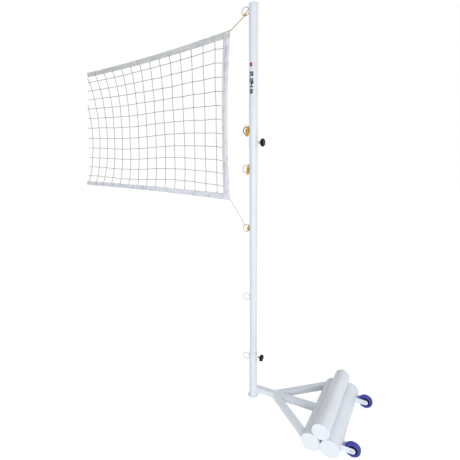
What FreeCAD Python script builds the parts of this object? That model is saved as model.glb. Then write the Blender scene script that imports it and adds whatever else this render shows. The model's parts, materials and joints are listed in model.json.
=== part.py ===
import FreeCAD, Part
import Sketcher
import math
import os
import re

# A free-standing net post on a weighted, wheeled base, with the length of net that is tied to it.
# Millimetres. The origin is on the floor under the post's axis, +Z is up, the base runs along +X
# from the post, the net along -X.

V = FreeCAD.Vector
ALONG_X = FreeCAD.Rotation(V(0, 1, 0), 90)
ALONG_Y = FreeCAD.Rotation(V(1, 0, 0), -90)
BACK_ALONG_Y = FreeCAD.Rotation(V(1, 0, 0), 90)
UPRIGHT = FreeCAD.Rotation()

SIZES = {
    # foot and socket
    "foot_pad_dia": 66.0,
    "foot_pad_thick": 3.0,
    "foot_plate_dia": 74.0,
    "foot_plate_thick": 8.0,
    "foot_round": 2.0,
    "socket_clearance": 0.6,
    "socket_wall": 2.5,
    "socket_top": 345.0,
    # mast, the lower tube of the post
    "mast_dia": 50.8,
    "mast_wall": 2.5,
    "mast_top": 2090.0,
    "seat_gap": 0.3,
    "plug_flange": 4.0,
    "plug_insert": 18.0,
    "plug_clearance": 0.2,
    # upper tube of the post, which slides over the mast
    "upper_clearance": 0.2,
    "upper_wall": 1.4,
    "upper_bottom": 1743.0,
    "post_height": 2550.0,
    "cap_thick": 4.0,
    "cap_insert": 20.0,
    # clamp screws and their knobs
    "lower_knob_height": 313.0,
    "upper_knob_height": 1772.0,
    "knob_dia": 48.0,
    "knob_width": 18.0,
    "knob_gap": 13.5,
    "knob_round": 3.0,
    "knob_notch_dia": 14.0,
    "knob_notches": 6,
    "knob_bore_depth": 12.0,
    "screw_dia": 10.0,
    "screw_clearance": 0.25,
    "screw_tip_gap": 0.3,
    "screw_tip_length": 2.0,
    "weld_nut_flats": 17.0,
    "weld_nut_depth": 11.0,
    # rope rings
    "ring_dia": 52.0,
    "dark_ring_dia": 47.0,
    "ring_wire": 5.0,
    "ring_seat": 1.0,
    "ring_top_drop": 34.0,
    "ring_dark_height": 1846.0,
    "ring_spare_height": 1611.0,
    "ring_tie_height": 1228.0,
    "ring_low_height": 751.0,
    "ring_base_height": 303.0,
    # arm and its two branches, square tubes
    "arm_size": 38.0,
    "arm_wall": 2.5,
    "arm_height": 62.0,
    "branch_start": 163.0,
    "branch_spread": 252.0,
    # ballast pipes
    "pipe_dia": 114.3,
    "top_pipe_dia": 101.6,
    "pipe_wall": 3.6,
    "pipe_length": 590.0,
    "pipe_offset": 503.0,
    "pipe_gap": 0.3,
    "end_plate_thick": 5.0,
    "end_plate_round": 1.5,
    "core_clearance": 0.3,
    # wheels
    "wheel_dia": 90.0,
    "wheel_round": 6.0,
    "wheel_inset": 65.0,
    "wheel_gap": 12.4,
    "wheel_lift": 7.6,
    "tyre_side_gap": 2.5,
    "hub_dia": 55.0,
    "hub_rim_thick": 5.0,
    "hub_rim_inset": 1.0,
    "hub_web_width": 10.0,
    "hub_boss_wall": 5.4,
    "hub_end_gap": 0.5,
    "cheek_gap": 33.0,
    "cheek_thick": 4.0,
    "cheek_width": 34.0,
    "axle_dia": 10.0,
    "axle_clearance": 0.2,
    "spacer_wall": 2.8,
    "bearing_clearance": 0.1,
    "bolt_head_thick": 6.4,
    "bolt_flats": 17.0,
    "axle_nut_thick": 8.0,
    "bolt_end": 3.0,
    # net, seen square on: a place is a distance from the post's axis
    "net_start_top": 158.0,
    "net_start_bottom": 173.0,
    "net_end_top": 1403.0,
    "net_end_bottom": 1521.0,
    "top_middle_place": 748.0,
    "bottom_middle_place": 660.0,
    "top_edge_start": 2433.0,
    "top_edge_middle": 2367.0,
    "top_edge_end": 2323.0,
    "bottom_edge_start": 1406.0,
    "bottom_edge_middle": 1434.0,
    "bottom_edge_end": 1464.0,
    "top_band_start_width": 38.0,
    "top_band_end_width": 31.0,
    "bottom_band_start_width": 41.0,
    "bottom_band_end_width": 29.0,
    "side_band_width": 46.0,
    "tape_thick": 2.4,
    "hem_wall": 1.5,
    "cord_clearance": 0.2,
    "twine_dia": 2.8,
    "net_rows": 12,
    "top_row_share_start": 0.5,
    "top_row_share_end": 0.65,
    "bottom_row_share_start": 0.7,
    "bottom_row_share_end": 0.6,
    "row_lift_start": 4.0,
    "row_lift_end": 25.0,
    "row_bend_start": 2.3,
    "row_bend_end": 14.5,
    "row_middle": 0.45,
    "net_pitch": 85.0,
    "first_column": 58.0,
    # ropes
    "rope_dia": 5.0,
    "thin_rope_dia": 4.0,
    "turn_gap": 0.5,
    "hank_clearance": 0.4,
    "hank_upper_radius": 9.5,
    "hank_middle_radius": 7.0,
    "hank_lower_radius": 4.6,
    "hank_upper_place": 37.0,
    "hank_middle_place": 34.0,
    "hank_lower_place": 33.0,
    "hank_upper_turns": 8,
    "hank_middle_turns": 8,
    "hank_lower_turns": 6,
    "hank_upper_tail": 24.0,
    "hank_middle_tail": 18.0,
    "hank_lower_tail": 12.0,
    "hank_back_length": 22.0,
    "head_rope_lead": 9.0,
    "foot_rope_lead": 8.0,
    "knot_gap": 0.6,
    "knot_turns": 3,
    "knot_start": 8.0,
}

doc = FreeCAD.newDocument("net_post")
sheet = doc.addObject("Spreadsheet::Sheet", "Sizes")
for row, (alias, value) in enumerate(SIZES.items(), start=1):
    sheet.set(f"A{row}", alias)
    sheet.set(f"B{row}", str(value))
    sheet.setAlias(f"B{row}", alias)
doc.recompute()

nodes = []


def size(alias):
    return float(sheet.get(alias))


def formula(text):
    """Writes the sheet's name before each of its aliases in an expression."""
    return re.sub(r"[a-z]\w+", lambda m: f"Sizes.{m[0]}" if m[0] in SIZES else m[0], text)


def bind(thing, **expressions):
    for name, expression in expressions.items():
        thing.setExpression(name, formula(expression))


def place(thing, x="0", y="0", z="0", turn=UPRIGHT):
    thing.Placement = FreeCAD.Placement(V(0, 0, 0), turn)
    for axis, expression in zip("xyz", (x, y, z)):
        thing.setExpression(f".Placement.Base.{axis}", formula(expression))
    return thing


def node(thing, name):
    thing.Label = name
    nodes.append(thing)
    return thing


def cylinder(radius, length, x="0", y="0", z="0", turn=UPRIGHT):
    thing = doc.addObject("Part::Cylinder", "Cylinder")
    bind(thing, Radius=radius, Height=length)
    return place(thing, x, y, z, turn)


def cone(radius_from, radius_to, length, x, y, z, turn=UPRIGHT):
    thing = doc.addObject("Part::Cone", "Cone")
    bind(thing, Radius1=radius_from, Radius2=radius_to, Height=length)
    return place(thing, x, y, z, turn)


def box(length, width, height, x, y, z):
    thing = doc.addObject("Part::Box", "Box")
    bind(thing, Length=length, Width=width, Height=height)
    return place(thing, x, y, z)


def hexagon(flats, depth, x, y, z, turn):
    thing = doc.addObject("Part::Prism", "Hexagon")
    thing.Polygon = 6
    bind(thing, Circumradius=f"{flats} / 2 / cos(30 deg)", Height=depth)
    return place(thing, x, y, z, turn)


def cut(base, *tools):
    for tool in tools:
        thing = doc.addObject("Part::Cut", "Cut")
        thing.Base = base
        thing.Tool = tool
        base = thing
    return base


def fuse(*pieces):
    thing = doc.addObject("Part::MultiFuse", "Fuse")
    thing.Shapes = list(pieces)
    return thing


def group(*pieces):
    thing = doc.addObject("Part::Compound", "Group")
    thing.Links = list(pieces)
    return thing


def feature(shape, name):
    thing = doc.addObject("Part::Feature", "Shape")
    thing.Shape = shape
    return node(thing, name)


def new_sketch(body, role):
    plane = next(p for p in body.Origin.OriginFeatures if p.Role == role)
    sketch = body.newObject("Sketcher::SketchObject", "Sketch")
    sketch.AttachmentSupport = [(plane, "")]
    sketch.MapMode = "FlatFace"
    return sketch


def add_circle(sketch, radius, along=None):
    """A circle round the sketch's origin, or at the distance `along` on its first axis."""
    rough = 5.0
    start = V(0, 0, 0) if along is None else V(rough, 0, 0)
    index = sketch.addGeometry(Part.Circle(start, V(0, 0, 1), rough), False)
    number = sketch.addConstraint(Sketcher.Constraint("Radius", index, rough))
    sketch.setExpression(f"Constraints[{number}]", formula(radius))
    if along is None:
        sketch.addConstraint(Sketcher.Constraint("Coincident", index, 3, -1, 1))
    else:
        sketch.addConstraint(Sketcher.Constraint("PointOnObject", index, 3, -1))
        number = sketch.addConstraint(Sketcher.Constraint("DistanceX", -1, 1, index, 3, rough))
        sketch.setExpression(f"Constraints[{number}]", formula(along))


def padded_disc(body, radius, thickness, bore=None):
    sketch = new_sketch(body, "XY_Plane")
    add_circle(sketch, radius)
    if bore:
        add_circle(sketch, bore)
    pad = body.newObject("PartDesign::Pad", "Pad")
    pad.Profile = sketch
    bind(pad, Length=thickness)
    doc.recompute()
    return pad


def round_rims(body, base, rounding, low=False):
    """Rounds the outer rim at the top of a padded disc, and at its bottom too if low is set."""
    whole = base.Shape.BoundBox
    rims = [
        f"Edge{number}"
        for number, edge in enumerate(base.Shape.Edges, start=1)
        if edge.BoundBox.XLength > 0.99 * whole.XLength
        and edge.BoundBox.ZLength < 0.001
        and (low or edge.BoundBox.ZMin > whole.Center.z)
    ]
    fillet = body.newObject("PartDesign::Fillet", "Fillet")
    fillet.Base = (base, rims)
    bind(fillet, Radius=rounding)
    doc.recompute()
    return fillet


def disc(radius, thickness, rounding, x="0", y="0", z="0", turn=UPRIGHT):
    body = doc.addObject("PartDesign::Body", "Body")
    round_rims(body, padded_disc(body, radius, thickness), rounding)
    return place(body, x, y, z, turn)


def turned(outline, x="0", y="0", z="0", turn=UPRIGHT):
    """A body turned about its own Z axis. The outline is a list of (radius, height) expressions."""
    body = doc.addObject("PartDesign::Body", "Body")
    sketch = new_sketch(body, "XZ_Plane")
    rough = [V(*(float(sheet.evalExpression(formula(e))) for e in pair), 0) for pair in outline]
    count = len(rough)
    for i in range(count):
        sketch.addGeometry(Part.LineSegment(rough[i], rough[(i + 1) % count]), False)
    for i in range(count):
        sketch.addConstraint(Sketcher.Constraint("Coincident", i, 2, (i + 1) % count, 1))
    for i, pair in enumerate(outline):
        for kind, axis, value, expression in zip(("DistanceX", "DistanceY"), (-2, -1), rough[i], pair):
            if expression == "0":
                sketch.addConstraint(Sketcher.Constraint("PointOnObject", i, 1, axis))
            else:
                number = sketch.addConstraint(Sketcher.Constraint(kind, -1, 1, i, 1, value))
                sketch.setExpression(f"Constraints[{number}]", formula(expression))
    revolution = body.newObject("PartDesign::Revolution", "Revolution")
    revolution.Profile = sketch
    revolution.ReferenceAxis = (sketch, ["V_Axis"])
    revolution.Angle = 360
    return place(body, x, y, z, turn)


def tube(outer, inner, length, z):
    return cut(cylinder(outer, length, z=z), cylinder(inner, length, z=z))


def unit(vector):
    return vector * (1 / vector.Length)


# Foot, socket and clamps

SOCKET_RADIUS = "(mast_dia / 2 + socket_clearance + socket_wall)"
SOCKET_FLOOR = "(foot_pad_thick + foot_plate_thick)"
UPPER_RADIUS = "(mast_dia / 2 + upper_clearance + upper_wall)"
SCREW_HOLE = "(screw_dia / 2 + screw_clearance)"
KNOB_START = f"({SOCKET_RADIUS} + weld_nut_depth + knob_gap)"
RING_TOP = "(post_height - ring_top_drop)"


def foot():
    node(cylinder("foot_pad_dia / 2", "foot_pad_thick"), "foot_pad")
    plate = disc("foot_plate_dia / 2", "foot_plate_thick", "foot_round", z="foot_pad_thick")
    node(plate, "foot_plate")


def socket():
    inner = f"{SOCKET_RADIUS} - socket_wall"
    walls = tube(SOCKET_RADIUS, inner, f"socket_top - {SOCKET_FLOOR}", SOCKET_FLOOR)
    hole = cylinder(SCREW_HOLE, f"2 * {SOCKET_RADIUS}", z="lower_knob_height", turn=ALONG_X)
    node(cut(walls, hole), "socket_tube")


def weld_nut(name, tube_radius, height):
    """A hexagon nut on +X, coped to the round tube that it is welded to."""
    start = f"{tube_radius} - screw_dia / 2"
    block = hexagon("weld_nut_flats", "weld_nut_depth + screw_dia / 2", start, "0", height, ALONG_X)
    bore = cylinder(SCREW_HOLE, "weld_nut_depth + screw_dia", start, "0", height, ALONG_X)
    seat = cylinder(tube_radius, "2 * weld_nut_flats", z=f"{height} - weld_nut_flats")
    node(cut(block, bore, seat), name)


def clamp_screw(name, height):
    """The screw's tip presses on the mast. Its other end is held in the knob."""
    tip = "mast_dia / 2 + screw_tip_gap"
    shank = f"{tip} + screw_tip_length"
    reach = f"{KNOB_START} + knob_bore_depth - ({shank})"
    thin_end = "screw_dia / 2 - screw_tip_length"
    point = cone(thin_end, "screw_dia / 2", "screw_tip_length", tip, "0", height, ALONG_X)
    node(fuse(point, cylinder("screw_dia / 2", reach, shank, "0", height, ALONG_X)), name)


def knob(name, height):
    """A round knob with notches in its rim, bored for the screw."""
    body = doc.addObject("PartDesign::Body", "Body")
    rims = round_rims(body, padded_disc(body, "knob_dia / 2", "knob_width"), "knob_round", low=True)
    notch_sketch = new_sketch(body, "XY_Plane")
    add_circle(notch_sketch, "knob_notch_dia / 2", along="knob_dia / 2 + knob_notch_dia / 5")
    notch = body.newObject("PartDesign::Pocket", "Notch")
    notch.Profile = notch_sketch
    notch.Type = "ThroughAll"
    notch.Reversed = True
    doc.recompute()
    pattern = body.newObject("PartDesign::PolarPattern", "Notches")
    pattern.Originals = [notch]
    pattern.Axis = (notch_sketch, ["N_Axis"])
    bind(pattern, Occurrences="knob_notches")
    body.Tip = pattern
    doc.recompute()
    bore_sketch = new_sketch(body, "XY_Plane")
    add_circle(bore_sketch, "screw_dia / 2")
    bore = body.newObject("PartDesign::Pocket", "Bore")
    bore.Profile = bore_sketch
    bore.Reversed = True
    bind(bore, Length="knob_bore_depth")
    doc.recompute()
    if not bore.Shape.Volume < pattern.Shape.Volume < notch.Shape.Volume < rims.Shape.Volume:
        raise RuntimeError(f"{name}: a notch or the bore cuts nothing")
    node(place(body, KNOB_START, "0", height, ALONG_X), name)


# Post

MAST_BOTTOM = f"({SOCKET_FLOOR} + seat_gap)"


def mast():
    radius = "mast_dia / 2 - mast_wall - plug_clearance"
    plug = turned(
        [
            ("0", "0"),
            ("mast_dia / 2", "0"),
            ("mast_dia / 2", "plug_flange"),
            (radius, "plug_flange"),
            (radius, "plug_flange + plug_insert"),
            ("0", "plug_flange + plug_insert"),
        ],
        z=MAST_BOTTOM,
    )
    node(plug, "mast_plug")
    start = f"({MAST_BOTTOM} + plug_flange)"
    node(tube("mast_dia / 2", "mast_dia / 2 - mast_wall", f"mast_top - {start}", start), "mast_tube")


def upper_post():
    walls = tube(
        UPPER_RADIUS,
        f"{UPPER_RADIUS} - upper_wall",
        "post_height - cap_thick - upper_bottom",
        "upper_bottom",
    )
    hole = cylinder(SCREW_HOLE, f"2 * {UPPER_RADIUS}", z="upper_knob_height", turn=ALONG_X)
    node(cut(walls, hole), "upper_tube")
    radius = f"{UPPER_RADIUS} - upper_wall - plug_clearance"
    cap = turned(
        [
            ("0", "0"),
            (radius, "0"),
            (radius, "cap_insert"),
            (UPPER_RADIUS, "cap_insert"),
            (UPPER_RADIUS, "cap_insert + cap_thick"),
            ("0", "cap_insert + cap_thick"),
        ],
        z="post_height - cap_thick - cap_insert",
    )
    node(cap, "top_cap")


def ring(name, ring_dia, tube_radius, height):
    """A wire ring that stands out towards the net, coped to the tube that it is welded to."""
    torus = doc.addObject("Part::Torus", "Torus")
    bind(torus, Radius1=f"({ring_dia} - ring_wire) / 2", Radius2="ring_wire / 2")
    place(torus, f"-({tube_radius} + {ring_dia} / 2 - ring_seat)", "0", height, ALONG_Y)
    seat = cylinder(tube_radius, f"2 * {ring_dia}", z=f"{height} - {ring_dia}")
    node(cut(torus, seat), name)


# Base

PIPE = "(pipe_dia / 2)"
TOP_PIPE = "(top_pipe_dia / 2)"
PIPE_STEP = "(pipe_dia + pipe_gap)"
TOP_PIPE_RISE = f"sqrt(({PIPE} + {TOP_PIPE} + pipe_gap) ^ 2 - ({PIPE_STEP} / 2) ^ 2)"
PIPE_PLACES = {
    "front": (PIPE, "pipe_offset", PIPE),
    "rear": (PIPE, f"(pipe_offset + {PIPE_STEP})", PIPE),
    "top": (TOP_PIPE, f"(pipe_offset + {PIPE_STEP} / 2)", f"({PIPE} + {TOP_PIPE_RISE})"),
}


def pipe_space(name):
    """A solid cylinder past both ends of a ballast pipe, to cope what is welded to the pipe."""
    radius, x, z = PIPE_PLACES[name]
    return cylinder(radius, "2 * pipe_length", x, "-pipe_length", z, ALONG_Y)


def square_bar(shrink, length, x):
    side = f"(arm_size - 2 * {shrink})"
    return box(length, side, side, x, f"-{side} / 2", f"arm_height - {side} / 2")


def main_arm():
    seat = cylinder(SOCKET_RADIUS, "2 * arm_size", z="arm_height - arm_size")
    bar = square_bar("0", "pipe_offset", "0")
    core = square_bar("arm_wall", "pipe_offset", "0")
    node(cut(bar, core, seat, pipe_space("front")), "main_arm")


def branch(name, side):
    """A square tube that leaves the main arm at a slant and ends on the front pipe."""
    reach = f"(pipe_offset - {PIPE} - branch_start)"
    angle = f"({side} * atan2(branch_spread; {reach}))"
    length = f"sqrt({reach} ^ 2 + branch_spread ^ 2) + {PIPE}"
    bars = []
    for shrink in ("0", "arm_wall"):
        bar = square_bar(shrink, length, "branch_start")
        half = f"(arm_size / 2 - {shrink})"
        place(bar, f"branch_start + {half} * sin({angle})", f"-{half} * cos({angle})",
              f"arm_height - {half}", FreeCAD.Rotation(V(0, 0, 1), side))
        bar.setExpression("Placement.Rotation.Angle", formula(angle))
        bars.append(bar)
    arm = square_bar("0", "pipe_offset", "0")
    node(cut(*bars, arm, pipe_space("front")), name)


def ballast(name):
    radius, x, z = PIPE_PLACES[name]
    outside = cylinder(radius, "pipe_length", x, "-pipe_length / 2", z, ALONG_Y)
    inside = cylinder(f"{radius} - pipe_wall", "pipe_length", x, "-pipe_length / 2", z, ALONG_Y)
    node(cut(outside, inside), f"pipe_{name}")
    plates = [
        disc(radius, "end_plate_thick", "end_plate_round", x, f"{side} * pipe_length / 2", z, turn)
        for side, turn in ((-1, BACK_ALONG_Y), (1, ALONG_Y))
    ]
    node(group(*plates), f"end_plates_{name}")
    core_radius = f"{radius} - pipe_wall - core_clearance"
    core_start = "-(pipe_length / 2 - core_clearance)"
    core_length = "pipe_length - 2 * core_clearance"
    node(cylinder(core_radius, core_length, x, core_start, z, ALONG_Y), f"ballast_core_{name}")


# Wheels

AXLE_X = f"({PIPE_PLACES['rear'][1]} + {PIPE} + wheel_gap + wheel_dia / 2)"
AXLE_Z = "(wheel_dia / 2 + wheel_lift)"
AXLE_HOLE = "(axle_dia / 2 + axle_clearance)"
SPACER = "(axle_dia / 2 + axle_clearance + spacer_wall)"
TYRE_WIDTH = "(cheek_gap - 2 * tyre_side_gap)"
WHEEL_SPREAD = "(pipe_length / 2 - wheel_inset)"


def across(radius, length, y):
    return cylinder(radius, length, AXLE_X, y, AXLE_Z, ALONG_Y)


def cheek(name, start):
    """A plate from the rear pipe to the axle, with a round end, coped to the pipe."""
    pipe_x = PIPE_PLACES["rear"][1]
    plate = box(f"{AXLE_X} - {pipe_x}", "cheek_thick", "cheek_width",
                pipe_x, start, f"{AXLE_Z} - cheek_width / 2")
    rounded = fuse(plate, across("cheek_width / 2", "cheek_thick", start))
    node(cut(rounded, across(AXLE_HOLE, "cheek_thick", start), pipe_space("rear")), name)


def wheel(name, side):
    middle = f"{side} * {WHEEL_SPREAD}"
    inner_face = {-1: f"({middle} - cheek_gap / 2)", 1: f"({middle} + cheek_gap / 2)"}
    for hand, start in ((-1, f"{inner_face[-1]} - cheek_thick"), (1, inner_face[1])):
        cheek(f"wheel_cheek_{name}_{'outer' if hand == side else 'inner'}", start)
    spacer = cut(across(SPACER, "cheek_gap", inner_face[-1]),
                 across(AXLE_HOLE, "cheek_gap", inner_face[-1]))
    node(spacer, f"axle_spacer_{name}")

    head_end = f"({inner_face[-1]} - cheek_thick)"
    nut_start = f"({inner_face[1]} + cheek_thick)"
    head_start = f"{head_end} - bolt_head_thick"
    head = hexagon("bolt_flats", "bolt_head_thick", AXLE_X, head_start, AXLE_Z, ALONG_Y)
    shank_length = "cheek_gap + 2 * cheek_thick + axle_nut_thick + bolt_end"
    shank = across("axle_dia / 2", shank_length, head_end)
    node(fuse(head, shank), f"axle_bolt_{name}")
    nut = hexagon("bolt_flats", "axle_nut_thick", AXLE_X, nut_start, AXLE_Z, ALONG_Y)
    node(cut(nut, across("axle_dia / 2", "axle_nut_thick", nut_start)), f"axle_nut_{name}")

    boss = "(cheek_gap - 2 * hub_end_gap)"
    rim_width = f"({TYRE_WIDTH} - 2 * hub_rim_inset)"
    bore = f"{SPACER} + bearing_clearance"
    rim = "hub_dia / 2"

    def heights(width):
        return f"({boss} - {width}) / 2", f"({boss} + {width}) / 2"

    web_low, web_high = heights("hub_web_width")
    rim_low, rim_high = heights(rim_width)
    outline = [
        (bore, "0"),
        (f"{bore} + hub_boss_wall", "0"),
        (f"{bore} + hub_boss_wall", web_low),
        (f"{rim} - hub_rim_thick", web_low),
        (f"{rim} - hub_rim_thick", rim_low),
        (rim, rim_low),
        (rim, rim_high),
        (f"{rim} - hub_rim_thick", rim_high),
        (f"{rim} - hub_rim_thick", web_high),
        (f"{bore} + hub_boss_wall", web_high),
        (f"{bore} + hub_boss_wall", boss),
        (bore, boss),
    ]
    node(turned(outline, AXLE_X, f"{middle} - {boss} / 2", AXLE_Z, ALONG_Y), f"wheel_hub_{name}")

    tyre = doc.addObject("PartDesign::Body", "Body")
    pad = padded_disc(tyre, "wheel_dia / 2", TYRE_WIDTH, bore=rim)
    round_rims(tyre, pad, "wheel_round", low=True)
    node(place(tyre, AXLE_X, f"{middle} - {TYRE_WIDTH} / 2", AXLE_Z, ALONG_Y), f"tyre_{name}")


# Net, in the plane y = 0

# a steep line meets a flat arc to within a micrometre after a few of these
CROSSING_STEPS = 20
# a gap of the mesh smaller than this many twines square is left closed
LEAST_GAP_TWINES = 4


class LongEdge:
    """A long edge of the net: an arc through three points of the net's plane."""

    def __init__(self, *points):
        self.points = points
        circle = Part.Arc(*points).toShape().Curve
        self.centre = circle.Center
        self.radius = circle.Radius
        self.side = 1 if points[1].z > self.centre.z else -1

    def point(self, x):
        rise = math.sqrt(self.radius**2 - (x - self.centre.x) ** 2)
        return V(x, 0, self.centre.z + self.side * rise)

    def crossing(self, line):
        """Where this edge meets a steep straight line, given as x at a height."""
        x = self.points[1].x
        for _ in range(CROSSING_STEPS):
            x = line(self.point(x).z)
        return self.point(x)

    def moved(self, *rises):
        """The edge with each of its three points moved up by its own rise."""
        return LongEdge(*(p + V(0, 0, rise) for p, rise in zip(self.points, rises)))

    def arcs(self, start, end, count=1):
        """The edge between two of its points, as a row of arcs."""
        step = (end.x - start.x) / count
        places = [start] + [self.point(start.x + step * k) for k in range(1, count)] + [end]
        middles = [self.point((a.x + b.x) / 2) for a, b in zip(places, places[1:])]
        return [Part.Arc(a, m, b).toShape() for a, m, b in zip(places, middles, places[1:])]

    def direction(self, place):
        """The edge's own direction at one of its points, towards the post."""
        out = place - self.centre
        along = V(out.z, 0, -out.x) * (self.side / out.Length)
        return along

    def rod(self, radius, start, end):
        disc_face = Part.Face(Part.Wire(Part.makeCircle(radius, start, self.direction(start))))
        angles = [math.atan2(p.x - self.centre.x, p.z - self.centre.z) for p in (start, end)]
        turn = math.degrees(math.remainder(angles[1] - angles[0], math.tau))
        return disc_face.revolve(self.centre, V(0, 1, 0), turn)


def straight_side(top, bottom):
    """A straight line between two points of the net's plane, as x at a height."""
    slant = (bottom.x - top.x) / (bottom.z - top.z)
    return lambda z: top.x + (z - top.z) * slant


def outline(upper, lower, right, left, arc_count=1):
    """The closed wire of two long edges and two straight sides."""
    a, b = upper.crossing(right), upper.crossing(left)
    c, d = lower.crossing(left), lower.crossing(right)
    far_side = Part.LineSegment(b, c).toShape()
    near_side = Part.LineSegment(d, a).toShape()
    return Part.Wire(upper.arcs(a, b, arc_count) + [far_side] + lower.arcs(c, d, arc_count) + [near_side])


def thicken(face, thickness):
    face.translate(V(0, -thickness / 2, 0))
    return face.extrude(V(0, thickness, 0))


def clipped(corners, place, inward):
    """The part of a polygon on the inner side of a straight line through a place."""
    kept = []
    for start, end in zip(corners, corners[1:] + corners[:1]):
        near, far = (start - place).dot(inward), (end - place).dot(inward)
        if near > 0:
            kept.append(start)
        if near * far < 0:
            kept.append(start + (end - start) * (near / (near - far)))
    return kept


def polygon_area(corners):
    pairs = zip(corners, corners[1:] + corners[:1])
    return sum(a.x * b.z - b.x * a.z for a, b in pairs) / 2


def inset(corners, distance):
    """A convex polygon drawn in by the same distance on every side, without its shortest sides."""
    turning = math.copysign(1, polygon_area(corners))
    result = corners
    for start, end in zip(corners, corners[1:] + corners[:1]):
        along = unit(end - start)
        inward = V(-along.z, 0, along.x) * turning
        result = clipped(result, start + inward * distance, inward)
    return [p for p, q in zip(result, result[1:] + result[:1]) if (q - p).Length > distance]


def along_net(name, away):
    """A size that changes evenly from the post, away = 0, to the net's far end, away = 1."""
    return size(f"{name}_start") * (1 - away) + size(f"{name}_end") * away


def row_edge(upper, lower, row, whole_rows):
    """A row of knots: part rows above and below share the rest, and the far end is lifted."""
    places = []
    for over, under, away in zip(upper.points, lower.points, (0, size("row_middle"), 1)):
        top = along_net("top_row_share", away)
        bottom = along_net("bottom_row_share", away)
        share = (top + row) / (top + whole_rows + bottom)
        lift = along_net("row_lift", away) * math.sin(math.pi * share)
        lift += along_net("row_bend", away) * math.sin(2 * math.pi * share)
        places.append(over + (under - over) * share + V(0, 0, lift))
    return LongEdge(*places)


def net_gaps(upper, lower, right, left):
    """The gaps of the mesh as closed wires: rows between the bands, columns along the net."""
    half_twine = size("twine_dia") / 2
    rows = int(size("net_rows"))
    row_edges = [upper, *(row_edge(upper, lower, row, rows - 2) for row in range(rows - 1)), lower]
    middle_x = right(row_edges[rows // 2].points[0].z)
    columns = [right]
    x = middle_x - size("first_column")
    while x > -size("net_end_bottom"):
        columns.append(lambda z, x=x: x)
        x -= size("net_pitch")
    columns.append(lambda z, x=x: x)
    end_of_net = V(left(0), 0, 0)
    end_inward = V(1, 0, left(0) - left(1))
    least_area = (LEAST_GAP_TWINES * size("twine_dia")) ** 2
    wires = []
    for near, far in zip(columns, columns[1:]):
        for over, under in zip(row_edges, row_edges[1:]):
            corners = [over.crossing(near), over.crossing(far)]
            corners += [under.crossing(far), under.crossing(near)]
            corners = clipped(corners, end_of_net, end_inward)
            if len(corners) < 3 or abs(polygon_area(corners)) < least_area:
                continue
            gap = inset(corners, half_twine)
            if len(gap) > 2 and abs(polygon_area(gap)) > least_area / 4:
                wires.append(Part.makePolygon(gap + gap[:1]))
    return wires


def band(face, core, outside, bore, ends):
    """A tape with a hem: a flat plate and a tube along the cord."""
    plate = thicken(face, size("tape_thick"))
    body = plate.fuse(core.rod(outside, *ends))
    return body.cut(core.rod(bore, *ends)).removeSplitter()


def net():
    top = LongEdge(
        V(-size("net_start_top"), 0, size("top_edge_start")),
        V(-size("top_middle_place"), 0, size("top_edge_middle")),
        V(-size("net_end_top"), 0, size("top_edge_end")),
    )
    bottom = LongEdge(
        V(-size("net_start_bottom"), 0, size("bottom_edge_start")),
        V(-size("bottom_middle_place"), 0, size("bottom_edge_middle")),
        V(-size("net_end_bottom"), 0, size("bottom_edge_end")),
    )
    wide, narrow = size("top_band_start_width"), size("top_band_end_width")
    top_inner = top.moved(-wide, -(wide + narrow) / 2, -narrow)
    wide, narrow = size("bottom_band_start_width"), size("bottom_band_end_width")
    bottom_inner = bottom.moved(wide, (wide + narrow) / 2, narrow)
    right = straight_side(top.points[0], bottom.points[0])
    left = straight_side(top.points[2], bottom.points[2])

    def inner_side(z):
        return right(z) - size("side_band_width")

    starts = []
    for name, edge, inner, cord_name, cord_dia, down in (
        ("top_band", top, top_inner, "head_cord", size("rope_dia"), 1),
        ("bottom_band", bottom, bottom_inner, "foot_cord", size("thin_rope_dia"), -1),
    ):
        bore = cord_dia / 2 + size("cord_clearance")
        outside = bore + size("hem_wall")
        core = edge.moved(*[-down * outside] * 3)
        ends = (core.crossing(right), core.crossing(left))
        upper, lower = (core, inner) if down == 1 else (inner, core)
        face = Part.Face(outline(upper, lower, right, left))
        feature(band(face, core, outside, bore, ends), name)
        feature(core.rod(cord_dia / 2, *ends), cord_name)
        starts.append((ends[0], core.direction(ends[0])))
    side_face = Part.Face(outline(top_inner, bottom_inner, right, inner_side))
    feature(thicken(side_face, size("tape_thick")), "side_band")
    gaps = net_gaps(top_inner, bottom_inner, inner_side, left)
    print("gaps in the net:", len(gaps))
    arc_count = int((size("net_end_top") - size("net_start_top")) / size("net_pitch"))
    rim = outline(top_inner, bottom_inner, inner_side, left, arc_count)
    mesh_face = Part.makeFace([rim] + gaps, "Part::FaceMakerBullseye")
    feature(thicken(mesh_face, size("twine_dia")), "net_mesh")
    return starts


# Ropes


def arc(start, corner, end):
    """An arc that is tangent to start-corner and to corner-end, with both legs alike."""
    middle = (start + end) * 0.5
    half = (end - start).Length / 2
    out = corner - middle
    bulge = half * math.tan(math.atan2(out.Length, half) / 2)
    return Part.Arc(start, middle + unit(out) * bulge, end).toShape()


def biarc(start, start_way, end, end_way):
    """Two tangent arcs from one point and direction to another."""
    span = end - start
    ways = start_way + end_way
    spread = 2 * (1 - start_way.dot(end_way))
    reach = (-span.dot(ways) + math.sqrt(span.dot(ways) ** 2 + spread * span.dot(span))) / spread
    first, second = start + start_way * reach, end - end_way * reach
    joint = (first + second) * 0.5
    return [arc(start, first, joint), arc(joint, second, end)]


def coil(centre, along, out, radius, pitch, turns, hand):
    """Points and directions at every half turn of a helix that starts out from its centre."""
    side = along.cross(out)
    stations = []
    for half_turn in range(2 * turns + 1):
        angle = hand * math.pi * half_turn
        spoke = out * math.cos(angle) + side * math.sin(angle)
        round_way = (side * math.cos(angle) - out * math.sin(angle)) * hand
        point = centre + spoke * radius + along * (pitch * half_turn / 2)
        stations.append((point, unit(round_way * radius + along * (pitch / math.tau))))
    return stations


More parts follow.
